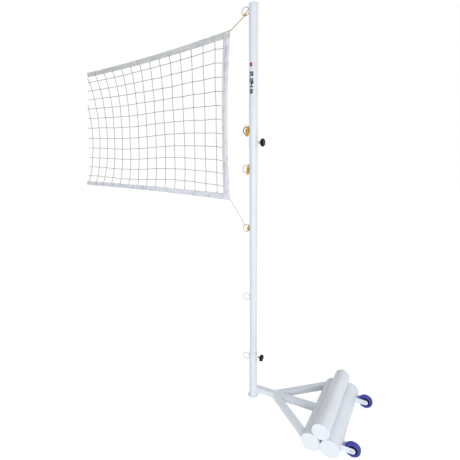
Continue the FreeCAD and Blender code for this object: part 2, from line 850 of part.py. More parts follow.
def through(stations):
    """Biarcs through points with directions."""
    edges = []
    for (start, start_way), (end, end_way) in zip(stations, stations[1:]):
        edges += biarc(start, start_way, end, end_way)
    return edges


def rounded_route(points):
    """Straight runs through the points, joined by arcs as large as the runs allow."""
    edges = []
    start = points[0]
    for before, corner, after in zip(points, points[1:], points[2:]):
        reach = 0.45 * min((corner - before).Length, (after - corner).Length)
        first = corner + unit(before - corner) * reach
        second = corner + unit(after - corner) * reach
        edges += [Part.LineSegment(start, first).toShape(), arc(first, corner, second)]
        start = second
    return edges + [Part.LineSegment(start, points[-1]).toShape()]


def least_self_gap(path, dia, steps_per_dia=4, dias_apart=4):
    """The least gap between stretches of a rope that are some diameters apart along it."""
    points = path.discretize(Number=int(path.Length / dia * steps_per_dia) + 1)
    apart = steps_per_dia * dias_apart
    near = min(
        (points[i] - points[j]).Length
        for i in range(len(points))
        for j in range(i + apart, len(points))
    )
    return near - dia


def rope(edges, dia, name, coiled=False):
    """The solid of a rope along its path, checked against its section times its length."""
    path = Part.Wire(edges)
    start = edges[0].valueAt(edges[0].FirstParameter)
    way = edges[0].tangentAt(edges[0].FirstParameter)
    section = Part.Wire(Part.makeCircle(dia / 2, start, way))
    solid = path.makePipeShell([section], True, False)
    ratio = solid.Volume / (math.pi * dia**2 / 4 * path.Length)
    radii = [e.Curve.Radius for e in edges if hasattr(e.Curve, "Radius")]
    print(name, "length %.1f, volume ratio %.4f" % (path.Length, ratio))
    if coiled:
        print("  least radius %.2f, least gap %.3f" % (min(radii), least_self_gap(path, dia)))
    else:
        print("  radii", " ".join("%.1f" % r for r in radii))
    return solid


def wound(stations, dia, name):
    """A rope through coil stations, with a straight run of one diameter at each end."""
    (first, first_way), (last, last_way) = stations[0], stations[-1]
    edges = [Part.LineSegment(first - first_way * dia, first).toShape()]
    edges += through(stations)
    edges.append(Part.LineSegment(last, last + last_way * dia).toShape())
    return rope(edges, dia, name, coiled=True)


# how far a hank's loose end leans sideways for each millimetre up, over all and at its end
TAIL_LEAN = 0.46
TAIL_END_LEAN = 0.37


def hank(name, dia, coil_radius, wire_place, turns, hand, tail):
    """Spare rope: a strand hung over the ring's wire, and the winding round it with a loose end."""
    wire = size("ring_wire") / 2
    front = -(wire + coil_radius + dia / 2 + size("hank_clearance"))
    back = wire + dia / 2 + size("hank_clearance")
    x, top = wire_place.x, wire_place.z
    pitch = dia + size("turn_gap")
    lowest_turn = top - dia - turns * pitch
    bend = V(x, (front + back) / 2, top + (back - front) / 2)
    strand = [
        Part.LineSegment(V(x, back, top - size("hank_back_length")), V(x, back, top)).toShape(),
        Part.Arc(V(x, back, top), bend, V(x, front, top)).toShape(),
        Part.LineSegment(V(x, front, top), V(x, front, lowest_turn - dia)).toShape(),
    ]
    stations = coil(V(x, front, lowest_turn), V(0, 0, 1), V(0, -1, 0), coil_radius, pitch, turns, hand)
    loose_end = stations[-1][0] + V(hand * tail * TAIL_LEAN, 0, tail)
    stations.append((loose_end, unit(V(hand * TAIL_END_LEAN, 0, 1))))
    solids = [rope(strand, dia, f"{name} strand"), wound(stations, dia, f"{name} winding")]
    feature(Part.makeCompound(solids), name)


def hanks():
    mast_radius = size("mast_dia") / 2
    upper_radius = mast_radius + size("upper_clearance") + size("upper_wall")
    for name, dia, tube_radius, ring_dia, height, hand in (
        ("upper", "rope_dia", upper_radius, "dark_ring_dia", "ring_dark_height", -1),
        ("middle", "rope_dia", mast_radius, "ring_dia", "ring_spare_height", 1),
        ("lower", "thin_rope_dia", mast_radius, "ring_dia", "ring_tie_height", 1),
    ):
        ring_x = -(tube_radius + size(ring_dia) / 2 - size("ring_seat"))
        ring_radius = (size(ring_dia) - size("ring_wire")) / 2
        x = -size(f"hank_{name}_place")
        wire_place = V(x, 0, size(height) + math.sqrt(ring_radius**2 - (x - ring_x) ** 2))
        radius = size(f"hank_{name}_radius")
        turns = int(size(f"hank_{name}_turns"))
        tail = size(f"hank_{name}_tail")
        hank(f"rope_hank_{name}", size(dia), radius, wire_place, turns, hand, tail)


def tie_ropes(head, foot_end):
    """The ropes from the net's corners: one through the top ring, one to the tie ring."""
    corner, way = head
    ring_height = size("post_height") - size("ring_top_drop")
    points = [
        corner,
        corner + way * size("head_rope_lead"),
        V(-68, -13, ring_height - 38),
        V(-54, -15, ring_height - 30),
        V(-48, -3, ring_height - 10),
        V(-38, 15, ring_height + 18),
        V(-16, 31, ring_height + 27),
        V(12, 31, ring_height + 28),
    ]
    feature(rope(rounded_route(points), size("rope_dia"), "upper_rope"), "upper_rope")
    along = unit(points[4] - points[3])
    out = unit(V(0, -1, 0).cross(along))
    dia = size("thin_rope_dia")
    radius = size("rope_dia") / 2 + dia / 2 + size("knot_gap")
    start = points[3] + along * size("knot_start")
    turns = coil(start, along, out, radius, dia + size("turn_gap"), int(size("knot_turns")), 1)
    feature(wound(turns, dia, "upper_rope_knot"), "upper_rope_knot")

    corner, way = foot_end
    ring_height = size("ring_tie_height")
    points = [
        corner,
        corner + way * size("foot_rope_lead"),
        V(-60, -6, ring_height + 22),
        V(-40, -0.5, ring_height - 14.5),
    ]
    feature(rope(rounded_route(points), dia, "lower_rope"), "lower_rope")


foot()
socket()
weld_nut("socket_nut", SOCKET_RADIUS, "lower_knob_height")
ring("ring_base", "ring_dia", SOCKET_RADIUS, "ring_base_height")
main_arm()
branch("branch_near", -1)
branch("branch_far", 1)
for place_name in PIPE_PLACES:
    ballast(place_name)
wheel("near", -1)
wheel("far", 1)
clamp_screw("lower_screw", "lower_knob_height")
knob("lower_knob", "lower_knob_height")
mast()
for ring_name in ("spare", "tie", "low"):
    ring(f"ring_{ring_name}", "ring_dia", "mast_dia / 2", f"ring_{ring_name}_height")
upper_post()
weld_nut("upper_nut", UPPER_RADIUS, "upper_knob_height")
ring("ring_top", "ring_dia", UPPER_RADIUS, RING_TOP)
ring("ring_dark", "dark_ring_dia", UPPER_RADIUS, "ring_dark_height")
clamp_screw("upper_screw", "upper_knob_height")
knob("upper_knob", "upper_knob_height")
tie_ropes(*net())
hanks()

doc.recompute()
for thing in doc.Objects:
    if "Invalid" in thing.State or "Error" in thing.State:
        raise RuntimeError(f"{thing.Label} failed: {thing.State}")
for thing in nodes:
    if thing.Shape.isNull() or not thing.Shape.isValid() or not thing.Shape.Solids:
        raise RuntimeError(f"{thing.Label} has no valid shape")

os.makedirs("parts", exist_ok=True)
for thing in nodes:
    thing.Shape.exportStep(f"parts/{thing.Label}.step")
print(len(nodes), "nodes written")
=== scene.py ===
"""A free-standing net post with its net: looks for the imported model, in metres.

The origin is on the floor under the post's axis. The base runs along +X, the net along -X.
"""
import json
import math
import random

import bmesh
import bpy
from mathutils import Matrix, Vector, noise

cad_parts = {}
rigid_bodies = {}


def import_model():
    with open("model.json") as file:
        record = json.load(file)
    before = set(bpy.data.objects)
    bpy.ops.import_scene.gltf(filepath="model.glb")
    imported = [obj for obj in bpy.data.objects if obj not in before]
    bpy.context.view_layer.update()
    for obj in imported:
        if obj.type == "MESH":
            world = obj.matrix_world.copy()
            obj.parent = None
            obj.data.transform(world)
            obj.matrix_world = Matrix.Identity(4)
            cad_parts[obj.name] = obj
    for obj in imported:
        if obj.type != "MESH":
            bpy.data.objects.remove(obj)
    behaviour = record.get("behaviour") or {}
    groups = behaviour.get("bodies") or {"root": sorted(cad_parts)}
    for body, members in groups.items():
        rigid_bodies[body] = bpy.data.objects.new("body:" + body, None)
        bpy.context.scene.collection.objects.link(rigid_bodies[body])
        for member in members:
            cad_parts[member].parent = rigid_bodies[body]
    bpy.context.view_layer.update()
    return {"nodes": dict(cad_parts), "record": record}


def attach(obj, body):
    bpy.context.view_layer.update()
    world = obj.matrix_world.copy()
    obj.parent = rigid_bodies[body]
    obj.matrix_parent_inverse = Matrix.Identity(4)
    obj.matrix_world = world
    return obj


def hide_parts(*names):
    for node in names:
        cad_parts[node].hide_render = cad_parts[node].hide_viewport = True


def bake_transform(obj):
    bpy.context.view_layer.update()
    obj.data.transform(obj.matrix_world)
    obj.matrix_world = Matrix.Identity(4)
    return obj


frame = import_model()
random.seed(11)

MAST_RADIUS = 0.0254
SOCKET_RADIUS = 0.0285
UPPER_RADIUS = 0.0270
RING_WIRE = 0.005
ROPE = 0.005
THIN_ROPE = 0.004
TWINE = 0.0035
UP = Vector((0, 0, 1))


# Camera

CAMERA_PLACE = Vector((0.9773, -2.1032, 1.7256))
CAMERA_AZIMUTH = math.radians(28.6988)
CAMERA_PITCH = math.radians(12.2927)
CAMERA_ROLL = math.radians(-0.7469)
CAMERA_FOCUS = 363.8641
IMAGE_WIDTH = 460
SENSOR = 36


def add_camera():
    level = Vector((-math.sin(CAMERA_AZIMUTH), math.cos(CAMERA_AZIMUTH), 0))
    right = Vector((math.cos(CAMERA_AZIMUTH), math.sin(CAMERA_AZIMUTH), 0))
    ahead = level * math.cos(CAMERA_PITCH) - UP * math.sin(CAMERA_PITCH)
    over = level * math.sin(CAMERA_PITCH) + UP * math.cos(CAMERA_PITCH)
    turned_right = right * math.cos(CAMERA_ROLL) + over * math.sin(CAMERA_ROLL)
    turned_up = over * math.cos(CAMERA_ROLL) - right * math.sin(CAMERA_ROLL)
    data = bpy.data.cameras.new("camera")
    data.sensor_width = SENSOR
    data.lens = SENSOR * CAMERA_FOCUS / IMAGE_WIDTH
    data.clip_end = 60
    camera = bpy.data.objects.new("camera", data)
    axes = Matrix((turned_right, turned_up, -ahead)).transposed().to_4x4()
    camera.matrix_world = Matrix.Translation(CAMERA_PLACE) @ axes
    bpy.context.collection.objects.link(camera)
    bpy.context.scene.camera = camera


# Materials


def shade(colour, factor):
    return tuple(min(1.0, c * factor) for c in colour)


class Surface:
    """A node material, built up from its shader."""

    def __init__(self, name, colour, rough, metal=0.0):
        self.material = bpy.data.materials.new(name)
        self.material.use_nodes = True
        self.tree = self.material.node_tree
        self.shader = self.tree.nodes["Principled BSDF"]
        self.set(Base_Color=(*colour, 1), Roughness=rough, Metallic=metal)
        self.colour = colour
        self.bump = None
        self.coordinates = self.add("ShaderNodeTexCoord").outputs["Object"]

    def add(self, kind, **values):
        item = self.tree.nodes.new(kind)
        for key, value in values.items():
            setattr(item, key, value)
        return item

    def link(self, source, target):
        self.tree.links.new(source, target)

    def texture(self, kind, numbers, source=None, **values):
        """A node on the object's own coordinates or on another vector."""
        item = self.add(kind, **values)
        for key, value in numbers.items():
            item.inputs[key].default_value = value
        self.link(source or self.coordinates, item.inputs["Vector"])
        return item

    def noise(self, scale, detail=3.0, rough=0.55, stretch=(1, 1, 1)):
        mapping = self.texture("ShaderNodeMapping", {"Scale": stretch})
        numbers = {"Scale": scale, "Detail": detail, "Roughness": rough}
        return self.texture("ShaderNodeTexNoise", numbers, mapping.outputs["Vector"]).outputs["Fac"]

    def voronoi(self, scale):
        return self.texture("ShaderNodeTexVoronoi", {"Scale": scale}).outputs["Distance"]

    def wave(self, scale, direction, distort, detail):
        numbers = {"Scale": scale, "Distortion": distort, "Detail": detail}
        return self.texture("ShaderNodeTexWave", numbers, bands_direction=direction).outputs["Fac"]

    def ramp(self, source, stops):
        item = self.add("ShaderNodeValToRGB")
        elements = item.color_ramp.elements
        while len(elements) < len(stops):
            elements.new(0.5)
        for element, (place, colour) in zip(elements, stops):
            element.position = place
            element.color = (*colour, 1)
        self.link(source, item.inputs["Fac"])
        return item.outputs["Color"]

    def mask(self, source, low, high):
        return self.ramp(source, [(low, (0, 0, 0)), (high, (1, 1, 1))])

    def toned(self, source, dark, light, low=0.3, high=0.7):
        """The surface's own colour, from darker to lighter by two factors."""
        return self.ramp(source, [(low, shade(self.colour, dark)), (high, shade(self.colour, light))])

    def feed(self, socket, value):
        """Give a socket another socket, a number or a colour."""
        if isinstance(value, bpy.types.NodeSocket):
            self.link(value, socket)
        else:
            socket.default_value = (*value, 1) if isinstance(value, tuple) else value

    def spread(self, source, low, high):
        item = self.add("ShaderNodeMapRange")
        item.inputs["To Min"].default_value = low
        item.inputs["To Max"].default_value = high
        self.link(source, item.inputs["Value"])
        return item.outputs["Result"]

    def mixed(self, share, first, second, blend="MIX"):
        item = self.add("ShaderNodeMix", data_type="RGBA", blend_type=blend)
        self.feed(item.inputs["Factor"], share)
        self.feed(item.inputs[6], first)
        self.feed(item.inputs[7], second)
        return item.outputs[2]

    def maths(self, operation, first, second):
        item = self.add("ShaderNodeMath", operation=operation)
        self.feed(item.inputs[0], first)
        self.feed(item.inputs[1], second)
        return item.outputs["Value"]

    def paint(self, source):
        self.link(source, self.shader.inputs["Base Color"])

    def gloss(self, source, low, high):
        self.link(self.spread(source, low, high), self.shader.inputs["Roughness"])

    def raise_by(self, source, height, strength=1.0):
        """Add one layer of bump, its height in metres."""
        item = self.add("ShaderNodeBump")
        item.inputs["Strength"].default_value = strength
        item.inputs["Distance"].default_value = height
        self.link(source, item.inputs["Height"])
        if self.bump:
            self.link(self.bump, item.inputs["Normal"])
        self.bump = item.outputs["Normal"]
        self.link(self.bump, self.shader.inputs["Normal"])

    def set(self, **inputs):
        for key, value in inputs.items():
            self.shader.inputs[key.replace("_", " ")].default_value = value


def powder_coat(name, colour):
    """Sprayed and baked paint: fine orange peel, faint scuffs."""
    s = Surface(name, colour, 0.42)
    s.set(Coat_Weight=0.1, Coat_Roughness=0.22, IOR=1.42)
    tone = s.toned(s.noise(3.2, 4, 0.6), 0.95, 1.03)
    scuff = s.mask(s.noise(46, 6, 0.7, (1, 1, 0.22)), 0.66, 0.74)
    s.paint(s.mixed(s.maths("MULTIPLY", scuff, 0.35), tone, shade(colour, 0.82)))
    s.gloss(s.noise(30, 5), 0.34, 0.5)
    s.raise_by(s.noise(620, 2, 0.5), 0.00012)
    s.raise_by(s.noise(90, 3, 0.5), 0.0002, 0.5)
    return s.material


def steel(name, colour, rough):
    s = Surface(name, colour, rough, 1.0)
    fine = s.noise(180, 4, 0.6, (1, 1, 8))
    s.paint(s.toned(s.noise(26, 5), 0.86, 1.1))
    s.gloss(fine, rough * 0.75, rough * 1.3)
    s.raise_by(fine, 0.00008)
    return s.material


def zinc(name, colour):
    """Bright zinc plating with its cloudy patches."""
    s = Surface(name, colour, 0.32, 1.0)
    s.paint(s.toned(s.voronoi(220), 0.85, 1.12, 0.1, 0.8))
    s.gloss(s.noise(90, 4), 0.24, 0.42)
    s.raise_by(s.noise(300, 3), 0.00005)
    return s.material


def plastic(name, colour, rough):
    """Moulded plastic with a fine eroded grain and slightly polished high places."""
    s = Surface(name, colour, rough)
    s.set(IOR=1.22)
    s.paint(s.toned(s.noise(40, 4), 0.85, 1.18, high=0.72))
    s.gloss(s.noise(60, 5), rough * 0.85, rough * 1.2)
    s.raise_by(s.noise(900, 2), 0.00009)
    return s.material


def rubber(name, colour):
    s = Surface(name, colour, 0.72)
    s.paint(s.toned(s.noise(70, 5), 0.8, 1.25))
    s.gloss(s.noise(120, 4), 0.62, 0.85)
    s.raise_by(s.noise(500, 3), 0.00015)
    return s.material


def polyurethane(name, colour):
    """Cast wheel rubber: a deep even colour, a soft sheen, dust on the running face."""
    s = Surface(name, colour, 0.42)
    s.set(Coat_Weight=0.12, Coat_Roughness=0.3)
    dust = s.mask(s.noise(55, 6, 0.65), 0.5, 0.75)
    base = s.toned(s.noise(18, 3), 0.9, 1.12)
    s.paint(s.mixed(s.maths("MULTIPLY", dust, 0.12), base, (0.36, 0.38, 0.46)))
    s.gloss(s.noise(80, 4), 0.36, 0.55)
    s.raise_by(s.noise(420, 3), 0.0001)
    return s.material


def fibre_rope(name, colour, dark, light):
    """Laid rope: fine filaments along the strands, painted shade darker in the lay, paler where rubbed."""
    s = Surface(name, colour, 0.5)
    s.set(Sheen_Weight=0.05, Sheen_Roughness=0.4)
    tone = s.ramp(s.noise(130, 5, 0.6), [(0.28, dark), (0.5, colour), (0.75, light)])
    # Painted shade: ambient occlusion darkens the colour in the lay between the strands.
    hollow = s.add("ShaderNodeAmbientOcclusion", samples=4)
    hollow.inputs["Distance"].default_value = 0.004
    s.link(tone, hollow.inputs["Color"])
    deep = s.ramp(hollow.outputs["AO"], [(0.25, shade(dark, 0.55)), (0.7, (1.0, 1.0, 1.0))])
    s.paint(s.mixed(1.0, tone, deep, "MULTIPLY"))
    s.gloss(s.noise(260, 3), 0.38, 0.62)
    s.raise_by(s.noise(1500, 2, 0.6, (1, 1, 0.3)), 0.00025)
    return s.material


def woven_tape(name, colour, shadow):
    """Plain-woven tape: warp and weft threads 2.2 mm apart, slight creases, painted fold shade in darker
    patches.
    """
    s = Surface(name, colour, 0.78)
    s.set(Sheen_Weight=0.3, Sheen_Roughness=0.5)
    warp = s.wave(140, "Z", 0.35, detail=1)
    weft = s.wave(140, "X", 0.35, detail=1)
    weave = s.maths("MULTIPLY", warp, weft)
    fold_shade_noise = s.noise(14, 6, 0.62)
    # Painted shade: where this noise is low the colour turns to the shadow colour, standing for the shade
    # in folds.
    tone = s.ramp(fold_shade_noise, [(0.3, shadow), (0.52, colour), (0.8, shade(colour, 1.05))])
    thread = s.ramp(weave, [(0.0, (0.86, 0.86, 0.88)), (0.45, (1.0, 1.0, 1.0))])
    s.paint(s.mixed(0.8, tone, s.mixed(1.0, tone, thread, "MULTIPLY")))
    s.gloss(fold_shade_noise, 0.7, 0.88)
    s.raise_by(weave, 0.0003)
    s.raise_by(s.noise(60, 4), 0.0012, 0.6)
    return s.material


def knotted_twine(name, colour):
    s = Surface(name, colour, 0.75)
    s.set(Sheen_Weight=0.2)
    stops = [(0.28, shade(colour, 0.62)), (0.5, colour), (0.74, shade(colour, 1.35))]
    s.paint(s.ramp(s.noise(24, 6, 0.65), stops))
    s.gloss(s.noise(90, 4), 0.65, 0.85)
    s.raise_by(s.wave(520, "DIAGONAL", 1.2, detail=2), 0.0004)
    return s.material


def flat_ink(name, colour):
    s = Surface(name, colour, 0.55)
    s.set(IOR=1.22)
    s.paint(s.toned(s.noise(240, 6, 0.7), 1.6, 1.0, high=0.45))
    s.gloss(s.noise(200, 3), 0.45, 0.65)
    s.raise_by(s.noise(700, 2), 0.00004)
    return s.material


MATERIALS = {
    "white_paint": powder_coat("powder_coat_base", (0.83, 0.88, 0.94)),
    "post_paint": powder_coat("powder_coat_post", (0.79, 0.845, 0.915)),
    "ring_steel": powder_coat("powder_coat_ring", (0.50, 0.51, 0.53)),
    # The near-black wire colour is painted shade: it stands for the shade round the rope wound on this
    # ring.
    "dark_steel": steel("painted_shade_wire", (0.055, 0.045, 0.065), 0.42),
    "ballast_iron": steel("cast_iron", (0.10, 0.10, 0.105), 0.6),
    "zinc": zinc("zinc_plate", (0.62, 0.64, 0.66)),
    "stem_brass": steel("yellow_zinc", (0.60, 0.47, 0.25), 0.34),
    "black_plastic": plastic("knob_plastic", (0.006, 0.006, 0.007), 0.46),
    "tyre_blue": polyurethane("wheel_polyurethane", (0.016, 0.026, 0.32)),
    "foot_rubber": rubber("foot_rubber", (0.50, 0.52, 0.54)),
    "gold_rope": fibre_rope("gold_rope", (0.95, 0.57, 0.025), (0.48, 0.26, 0.010), (1.0, 0.76, 0.10)),
    "pale_rope": fibre_rope("pale_rope", (0.62, 0.60, 0.45), (0.40, 0.37, 0.25), (0.78, 0.76, 0.62)),
    "band_cloth": woven_tape("band_cloth", (0.70, 0.73, 0.74), (0.54, 0.57, 0.58)),
    "band_thread": fibre_rope("band_thread", (0.60, 0.62, 0.60), (0.40, 0.42, 0.42), (0.75, 0.76, 0.74)),
    "twine": knotted_twine("net_twine", (0.25, 0.237, 0.19)),
}
TAUT_ROPE = fibre_rope("taut_rope", (0.52, 0.35, 0.005), (0.34, 0.20, 0.003), (0.66, 0.46, 0.008))
PALE_CLOTH = woven_tape("pale_cloth", (0.86, 0.89, 0.96), (0.60, 0.64, 0.74))
SIDE_CLOTH = woven_tape("side_cloth", (0.83, 0.86, 0.90), (0.55, 0.58, 0.62))
INK = flat_ink("black_ink", (0.006, 0.006, 0.007))
RED = flat_ink("red_ink", (0.55, 0.03, 0.03))


# Mesh building


class Build:
    """Rows of points that turn into one mesh."""

    def __init__(self):
        self.points = []
        self.faces = []

    def rows(self, rows, round_way=True, caps=True):
        """Skin between rows of equally many points. A round way closes each row on itself."""
        base = len(self.points)
        width = len(rows[0])
        for row in rows:
            self.points += [tuple(p) for p in row]
        for k in range(len(rows) - 1):
            for j in range(width if round_way else width - 1):
                a = base + k * width + j
                b = base + k * width + (j + 1) % width
                self.faces.append((a, b, b + width, a + width))
        if caps and round_way:
            self.faces.append(tuple(base + j for j in reversed(range(width))))
            last = base + (len(rows) - 1) * width
            self.faces.append(tuple(last + j for j in range(width)))

    def object(self, name, body, slot, material=None, replaces=()):
        mesh = bpy.data.meshes.new(name)
        mesh.from_pydata(self.points, [], self.faces)
        mesh.validate()
        mesh.update()
        for face in mesh.polygons:
            face.use_smooth = True
        thing = bpy.data.objects.new(name, mesh)
        bpy.context.collection.objects.link(thing)
        mesh.materials.append(material or MATERIALS[slot])
        if body:
            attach(thing, body)
        if replaces:
            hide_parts(*replaces)
        return thing


def sharpen(thing, degrees):
    """Keep the edges steeper than an angle crisp on a smooth mesh."""
    thing.data.set_sharp_from_angle(angle=math.radians(degrees))


def outward(thing):
    """Turn every face outward."""
    work = bmesh.new()
    work.from_mesh(thing.data)
    bmesh.ops.recalc_face_normals(work, faces=work.faces)
    work.to_mesh(thing.data)
    work.free()
    return thing


def clamped(value):
    return min(1.0, max(0.0, value))


def even_steps(places, step):
    """Points an even step apart along a line of points."""
    lengths = [0.0]
    for a, b in zip(places, places[1:]):
        lengths.append(lengths[-1] + (b - a).length)
    count = max(2, round(lengths[-1] / step))
    result = []
    k = 0
    for i in range(count + 1):
        target = lengths[-1] * i / count
        while k < len(places) - 2 and lengths[k + 1] < target:
            k += 1
        run = lengths[k + 1] - lengths[k]
        share = (target - lengths[k]) / run if run else 0
        result.append(places[k].lerp(places[k + 1], clamped(share)))
    return result


def frames_along(places):
    """At each place of a path a steady pair of sideways directions."""
    frames = []
    side = None
    for before, after in zip(places[:1] + places, places[1:] + places[-1:]):
        way = (after - before).normalized()
        if side is None:
            side = way.orthogonal()
        side = (side - way * side.dot(way)).normalized()
        frames.append((side, way.cross(side)))
    return frames


def ring_of(centre, side, up, radius, sides, start=0.0):
    points = []
    for j in range(sides):
        angle = start + math.tau * j / sides
        points.append(centre + side * (math.cos(angle) * radius) + up * (math.sin(angle) * radius))
    return points


def tube_rows(places, radius, sides):
    """Rings along a path."""
    pairs = zip(places, frames_along(places))
    return [ring_of(place, side, up, radius, sides) for place, (side, up) in pairs]


def path_length(places):
    return sum((b - a).length for a, b in zip(places, places[1:]))


ROUTE_STEPS = 16


def route(points):
    """Points read from the smooth spline that a rope's control points give."""
    curve = bpy.data.curves.new("route", "CURVE")
    curve.dimensions = "3D"
    curve.resolution_u = ROUTE_STEPS
    spline = curve.splines.new("NURBS")
    spline.points.add(len(points) - 1)
    for target, source in zip(spline.points, points):
        target.co = (*source, 1)
    spline.order_u = 3
    spline.use_endpoint_u = True
    spline.resolution_u = ROUTE_STEPS
    holder = bpy.data.objects.new("route", curve)
    mesh = bpy.data.meshes.new_from_object(holder)
    places = [v.co.copy() for v in mesh.vertices]
    bpy.data.meshes.remove(mesh)
    bpy.data.objects.remove(holder)
    bpy.data.curves.remove(curve)
    return places


ROPE_LAY = 3.4


def laid_rope(build, places, diameter, sides=8, step=0.24):
    """Three strands twisted round a path, one turn in ROPE_LAY diameters."""
    places = even_steps(places, diameter * step)
    frames = frames_along(places)
    length = path_length(places)
    strand, offset = diameter * 0.262, diameter * 0.238
    last = len(places) - 1
    for j in range(3):
        rows = []
        for k, (place, (side, up)) in enumerate(zip(places, frames)):
            turn = math.tau * (j / 3 + length * k / last / (ROPE_LAY * diameter))
            spoke = side * math.cos(turn) + up * math.sin(turn)
            size = strand * (0.72 if k in (0, last) else 1.0)
            rows.append(ring_of(place + spoke * offset, side, up, size, sides, turn))
        build.rows(rows)
    return places


BEAD_STEP = 0.0011
BEAD_RIPPLE = 0.0032


def bead(places, radius, closed):
    """A weld's rippled bead along a line of places."""
    if closed:
        places = places + [places[0]]
    fine = even_steps(places, BEAD_STEP)
    rows = []
    for k, (place, (side, up)) in enumerate(zip(fine, frames_along(fine))):
        ripple = 0.12 * math.cos(math.tau * k * BEAD_STEP / BEAD_RIPPLE)
        wave = 0.9 + ripple + random.uniform(-0.03, 0.03)
        end = min(k, len(fine) - 1 - k)
        size = radius * wave * (1 if closed else min(1, 0.45 + 0.2 * end))
        rows.append(ring_of(place, side, up, size, 8))
    return rows


def welded(name, body, lines, radius, closed=True, slot="white_paint"):
    build = Build()
    for line in lines:
        build.rows(bead(line, radius, closed))
    build.object(name, body, slot)


# Floor, light

FLOOR_HALF = 14
FLOOR_SINK = 0.0002
FLOOR_GLOW = 0.62
WORLD_LEVEL = 0.44
# Name, place, target, size, power
LIGHTS = (
    ("key", (3.0, -3.9, 1.5), (0, 0, 0.9), 2.2, 108),
    ("fill", (-0.6, -4.8, 1.0), (0.1, 0, 0.5), 3.2, 26),
    ("back", (2.0, 2.6, 2.4), (0.4, 0, 0.2), 2.4, 26),
)


def seen_rays(tree):
    """1 for rays that the camera sees, also by reflection, 0 for those that only light."""
    rays = tree.nodes.new("ShaderNodeLightPath")
    seen = rays.outputs["Is Camera Ray"]
    for kind in ("Is Glossy Ray", "Is Transmission Ray"):
        either = tree.nodes.new("ShaderNodeMath")
        either.operation = "MAXIMUM"
        tree.links.new(seen, either.inputs[0])
        tree.links.new(rays.outputs[kind], either.inputs[1])
        seen = either.outputs[0]
    return seen


def add_stage():
    ends = (-FLOOR_HALF, FLOOR_HALF)
    floor = bpy.data.meshes.new("floor")
    floor.from_pydata([(x, y, 0) for x in ends for y in ends], [], [(0, 1, 3, 2)])
    thing = bpy.data.objects.new("floor", floor)
    thing.location.z = -FLOOR_SINK
    bpy.context.collection.objects.link(thing)
    s = Surface("floor", (0.86, 0.86, 0.86), 0.9)
    s.set(Emission_Color=(1, 1, 1, 1))
    s.link(s.maths("MULTIPLY", seen_rays(s.tree), FLOOR_GLOW), s.shader.inputs["Emission Strength"])
    floor.materials.append(s.material)


def add_light():
    world = bpy.data.worlds.new("studio")
    bpy.context.scene.world = world
    world.use_nodes = True
    tree = world.node_tree
    shader = tree.nodes["Background"]
    shader.inputs["Color"].default_value = (1, 1, 1, 1)
    level = tree.nodes.new("ShaderNodeMapRange")
    level.inputs["To Min"].default_value = WORLD_LEVEL
    tree.links.new(seen_rays(tree), level.inputs["Value"])
    tree.links.new(level.outputs["Result"], shader.inputs["Strength"])
    for name, place, target, size, power in LIGHTS:
        data = bpy.data.lights.new(name, "AREA")
        data.shape = "SQUARE"
        data.size = size
        data.energy = power
        lamp = bpy.data.objects.new(name, data)
        lamp.location = place
        lamp.rotation_euler = (Vector(target) - Vector(place)).to_track_quat("-Z", "Y").to_euler()
        bpy.context.collection.objects.link(lamp)
    bpy.context.scene.view_settings.view_transform = "Standard"


# Net


class LongEdge:
    """A long edge of the net: a circle's arc through three (x, z) points of the plane y = 0."""

    def __init__(self, *points):
        (ax, az), (bx, bz), (cx, cz) = points
        self.points = points
        d = 2 * (ax * (bz - cz) + bx * (cz - az) + cx * (az - bz))
        a, b, c = ax * ax + az * az, bx * bx + bz * bz, cx * cx + cz * cz
        self.x = (a * (bz - cz) + b * (cz - az) + c * (az - bz)) / d
        self.z = (a * (cx - bx) + b * (ax - cx) + c * (bx - ax)) / d
        self.radius = math.hypot(ax - self.x, az - self.z)
        self.side = 1 if bz > self.z else -1

    def height(self, x):
        return self.z + self.side * math.sqrt(self.radius**2 - (x - self.x) ** 2)

    def crossing(self, line):
        """Where this edge meets a steep line, given as x at a height."""
        x = self.points[1][0]
        for _ in range(20):
            x = line(self.height(x))
        return Vector((x, 0, self.height(x)))

    def moved(self, *rises):
        return LongEdge(*((x, z + rise) for (x, z), rise in zip(self.points, rises)))

    def direction(self, x):
        z = self.height(x)
        return Vector((z - self.z, 0, self.x - x)) * (self.side / self.radius)


TOP = LongEdge((-0.158, 2.433), (-0.748, 2.367), (-1.403, 2.323))
BOTTOM = LongEdge((-0.173, 1.406), (-0.660, 1.434), (-1.521, 1.464))
TOP_INNER = TOP.moved(-0.038, -0.0345, -0.031)
BOTTOM_INNER = BOTTOM.moved(0.041, 0.035, 0.029)
SIDE_BAND = 0.046
HEM_TOP = ROPE / 2 + 0.0002 + 0.0015
HEM_BOTTOM = THIN_ROPE / 2 + 0.0002 + 0.0015
HEAD = TOP.moved(*[-HEM_TOP] * 3)
FOOT = BOTTOM.moved(*[HEM_BOTTOM] * 3)
NET_ROWS = 12
TOP_ROW_SHARES = (0.5, 0.65)
BOTTOM_ROW_SHARES = (0.7, 0.6)
ROW_LIFTS = (0.004, 0.025)
ROW_BENDS = (0.0023, 0.0145)
ROW_WAVE = 0.008
SIDE_HOLLOW = 0.018
NET_COLUMNS = 15
BILLOW = 0.055
MIDDLE_Z = 1.93
NET_START = -0.17
NET_LENGTH = 1.25
NET_END = -1.5185
EDGE_ROOM = 0.0005
KNOT_ROOM = 0.006
SHORTEST_RUN = 0.004
KNOT_JITTER = 0.0016
SAG = 0.0022


def straight(top, bottom):
    (tx, tz), (bx, bz) = top, bottom
    return lambda z: tx + (z - tz) * (bx - tx) / (bz - tz)


RIGHT = straight(TOP.points[0], BOTTOM.points[0])
LEFT = straight(TOP.points[2], BOTTOM.points[2])


def inner_side(z):
    return RIGHT(z) - SIDE_BAND


def column(k):
    """x of a vertical twine at the top band, at mid-height and at the bottom band."""
    middle = -0.269 - 0.0895 * k + 0.00027 * k * k
    away = max(0.0, (k - 7.5) / 5.5)
    top = middle + 0.006 * (1 - away) - 0.024 * away**2
    return top, middle, middle - 0.028 * min(1.0, away * 1.15)


def between(values, x):
    first, last = values
    return first + (last - first) * distance_along(x)


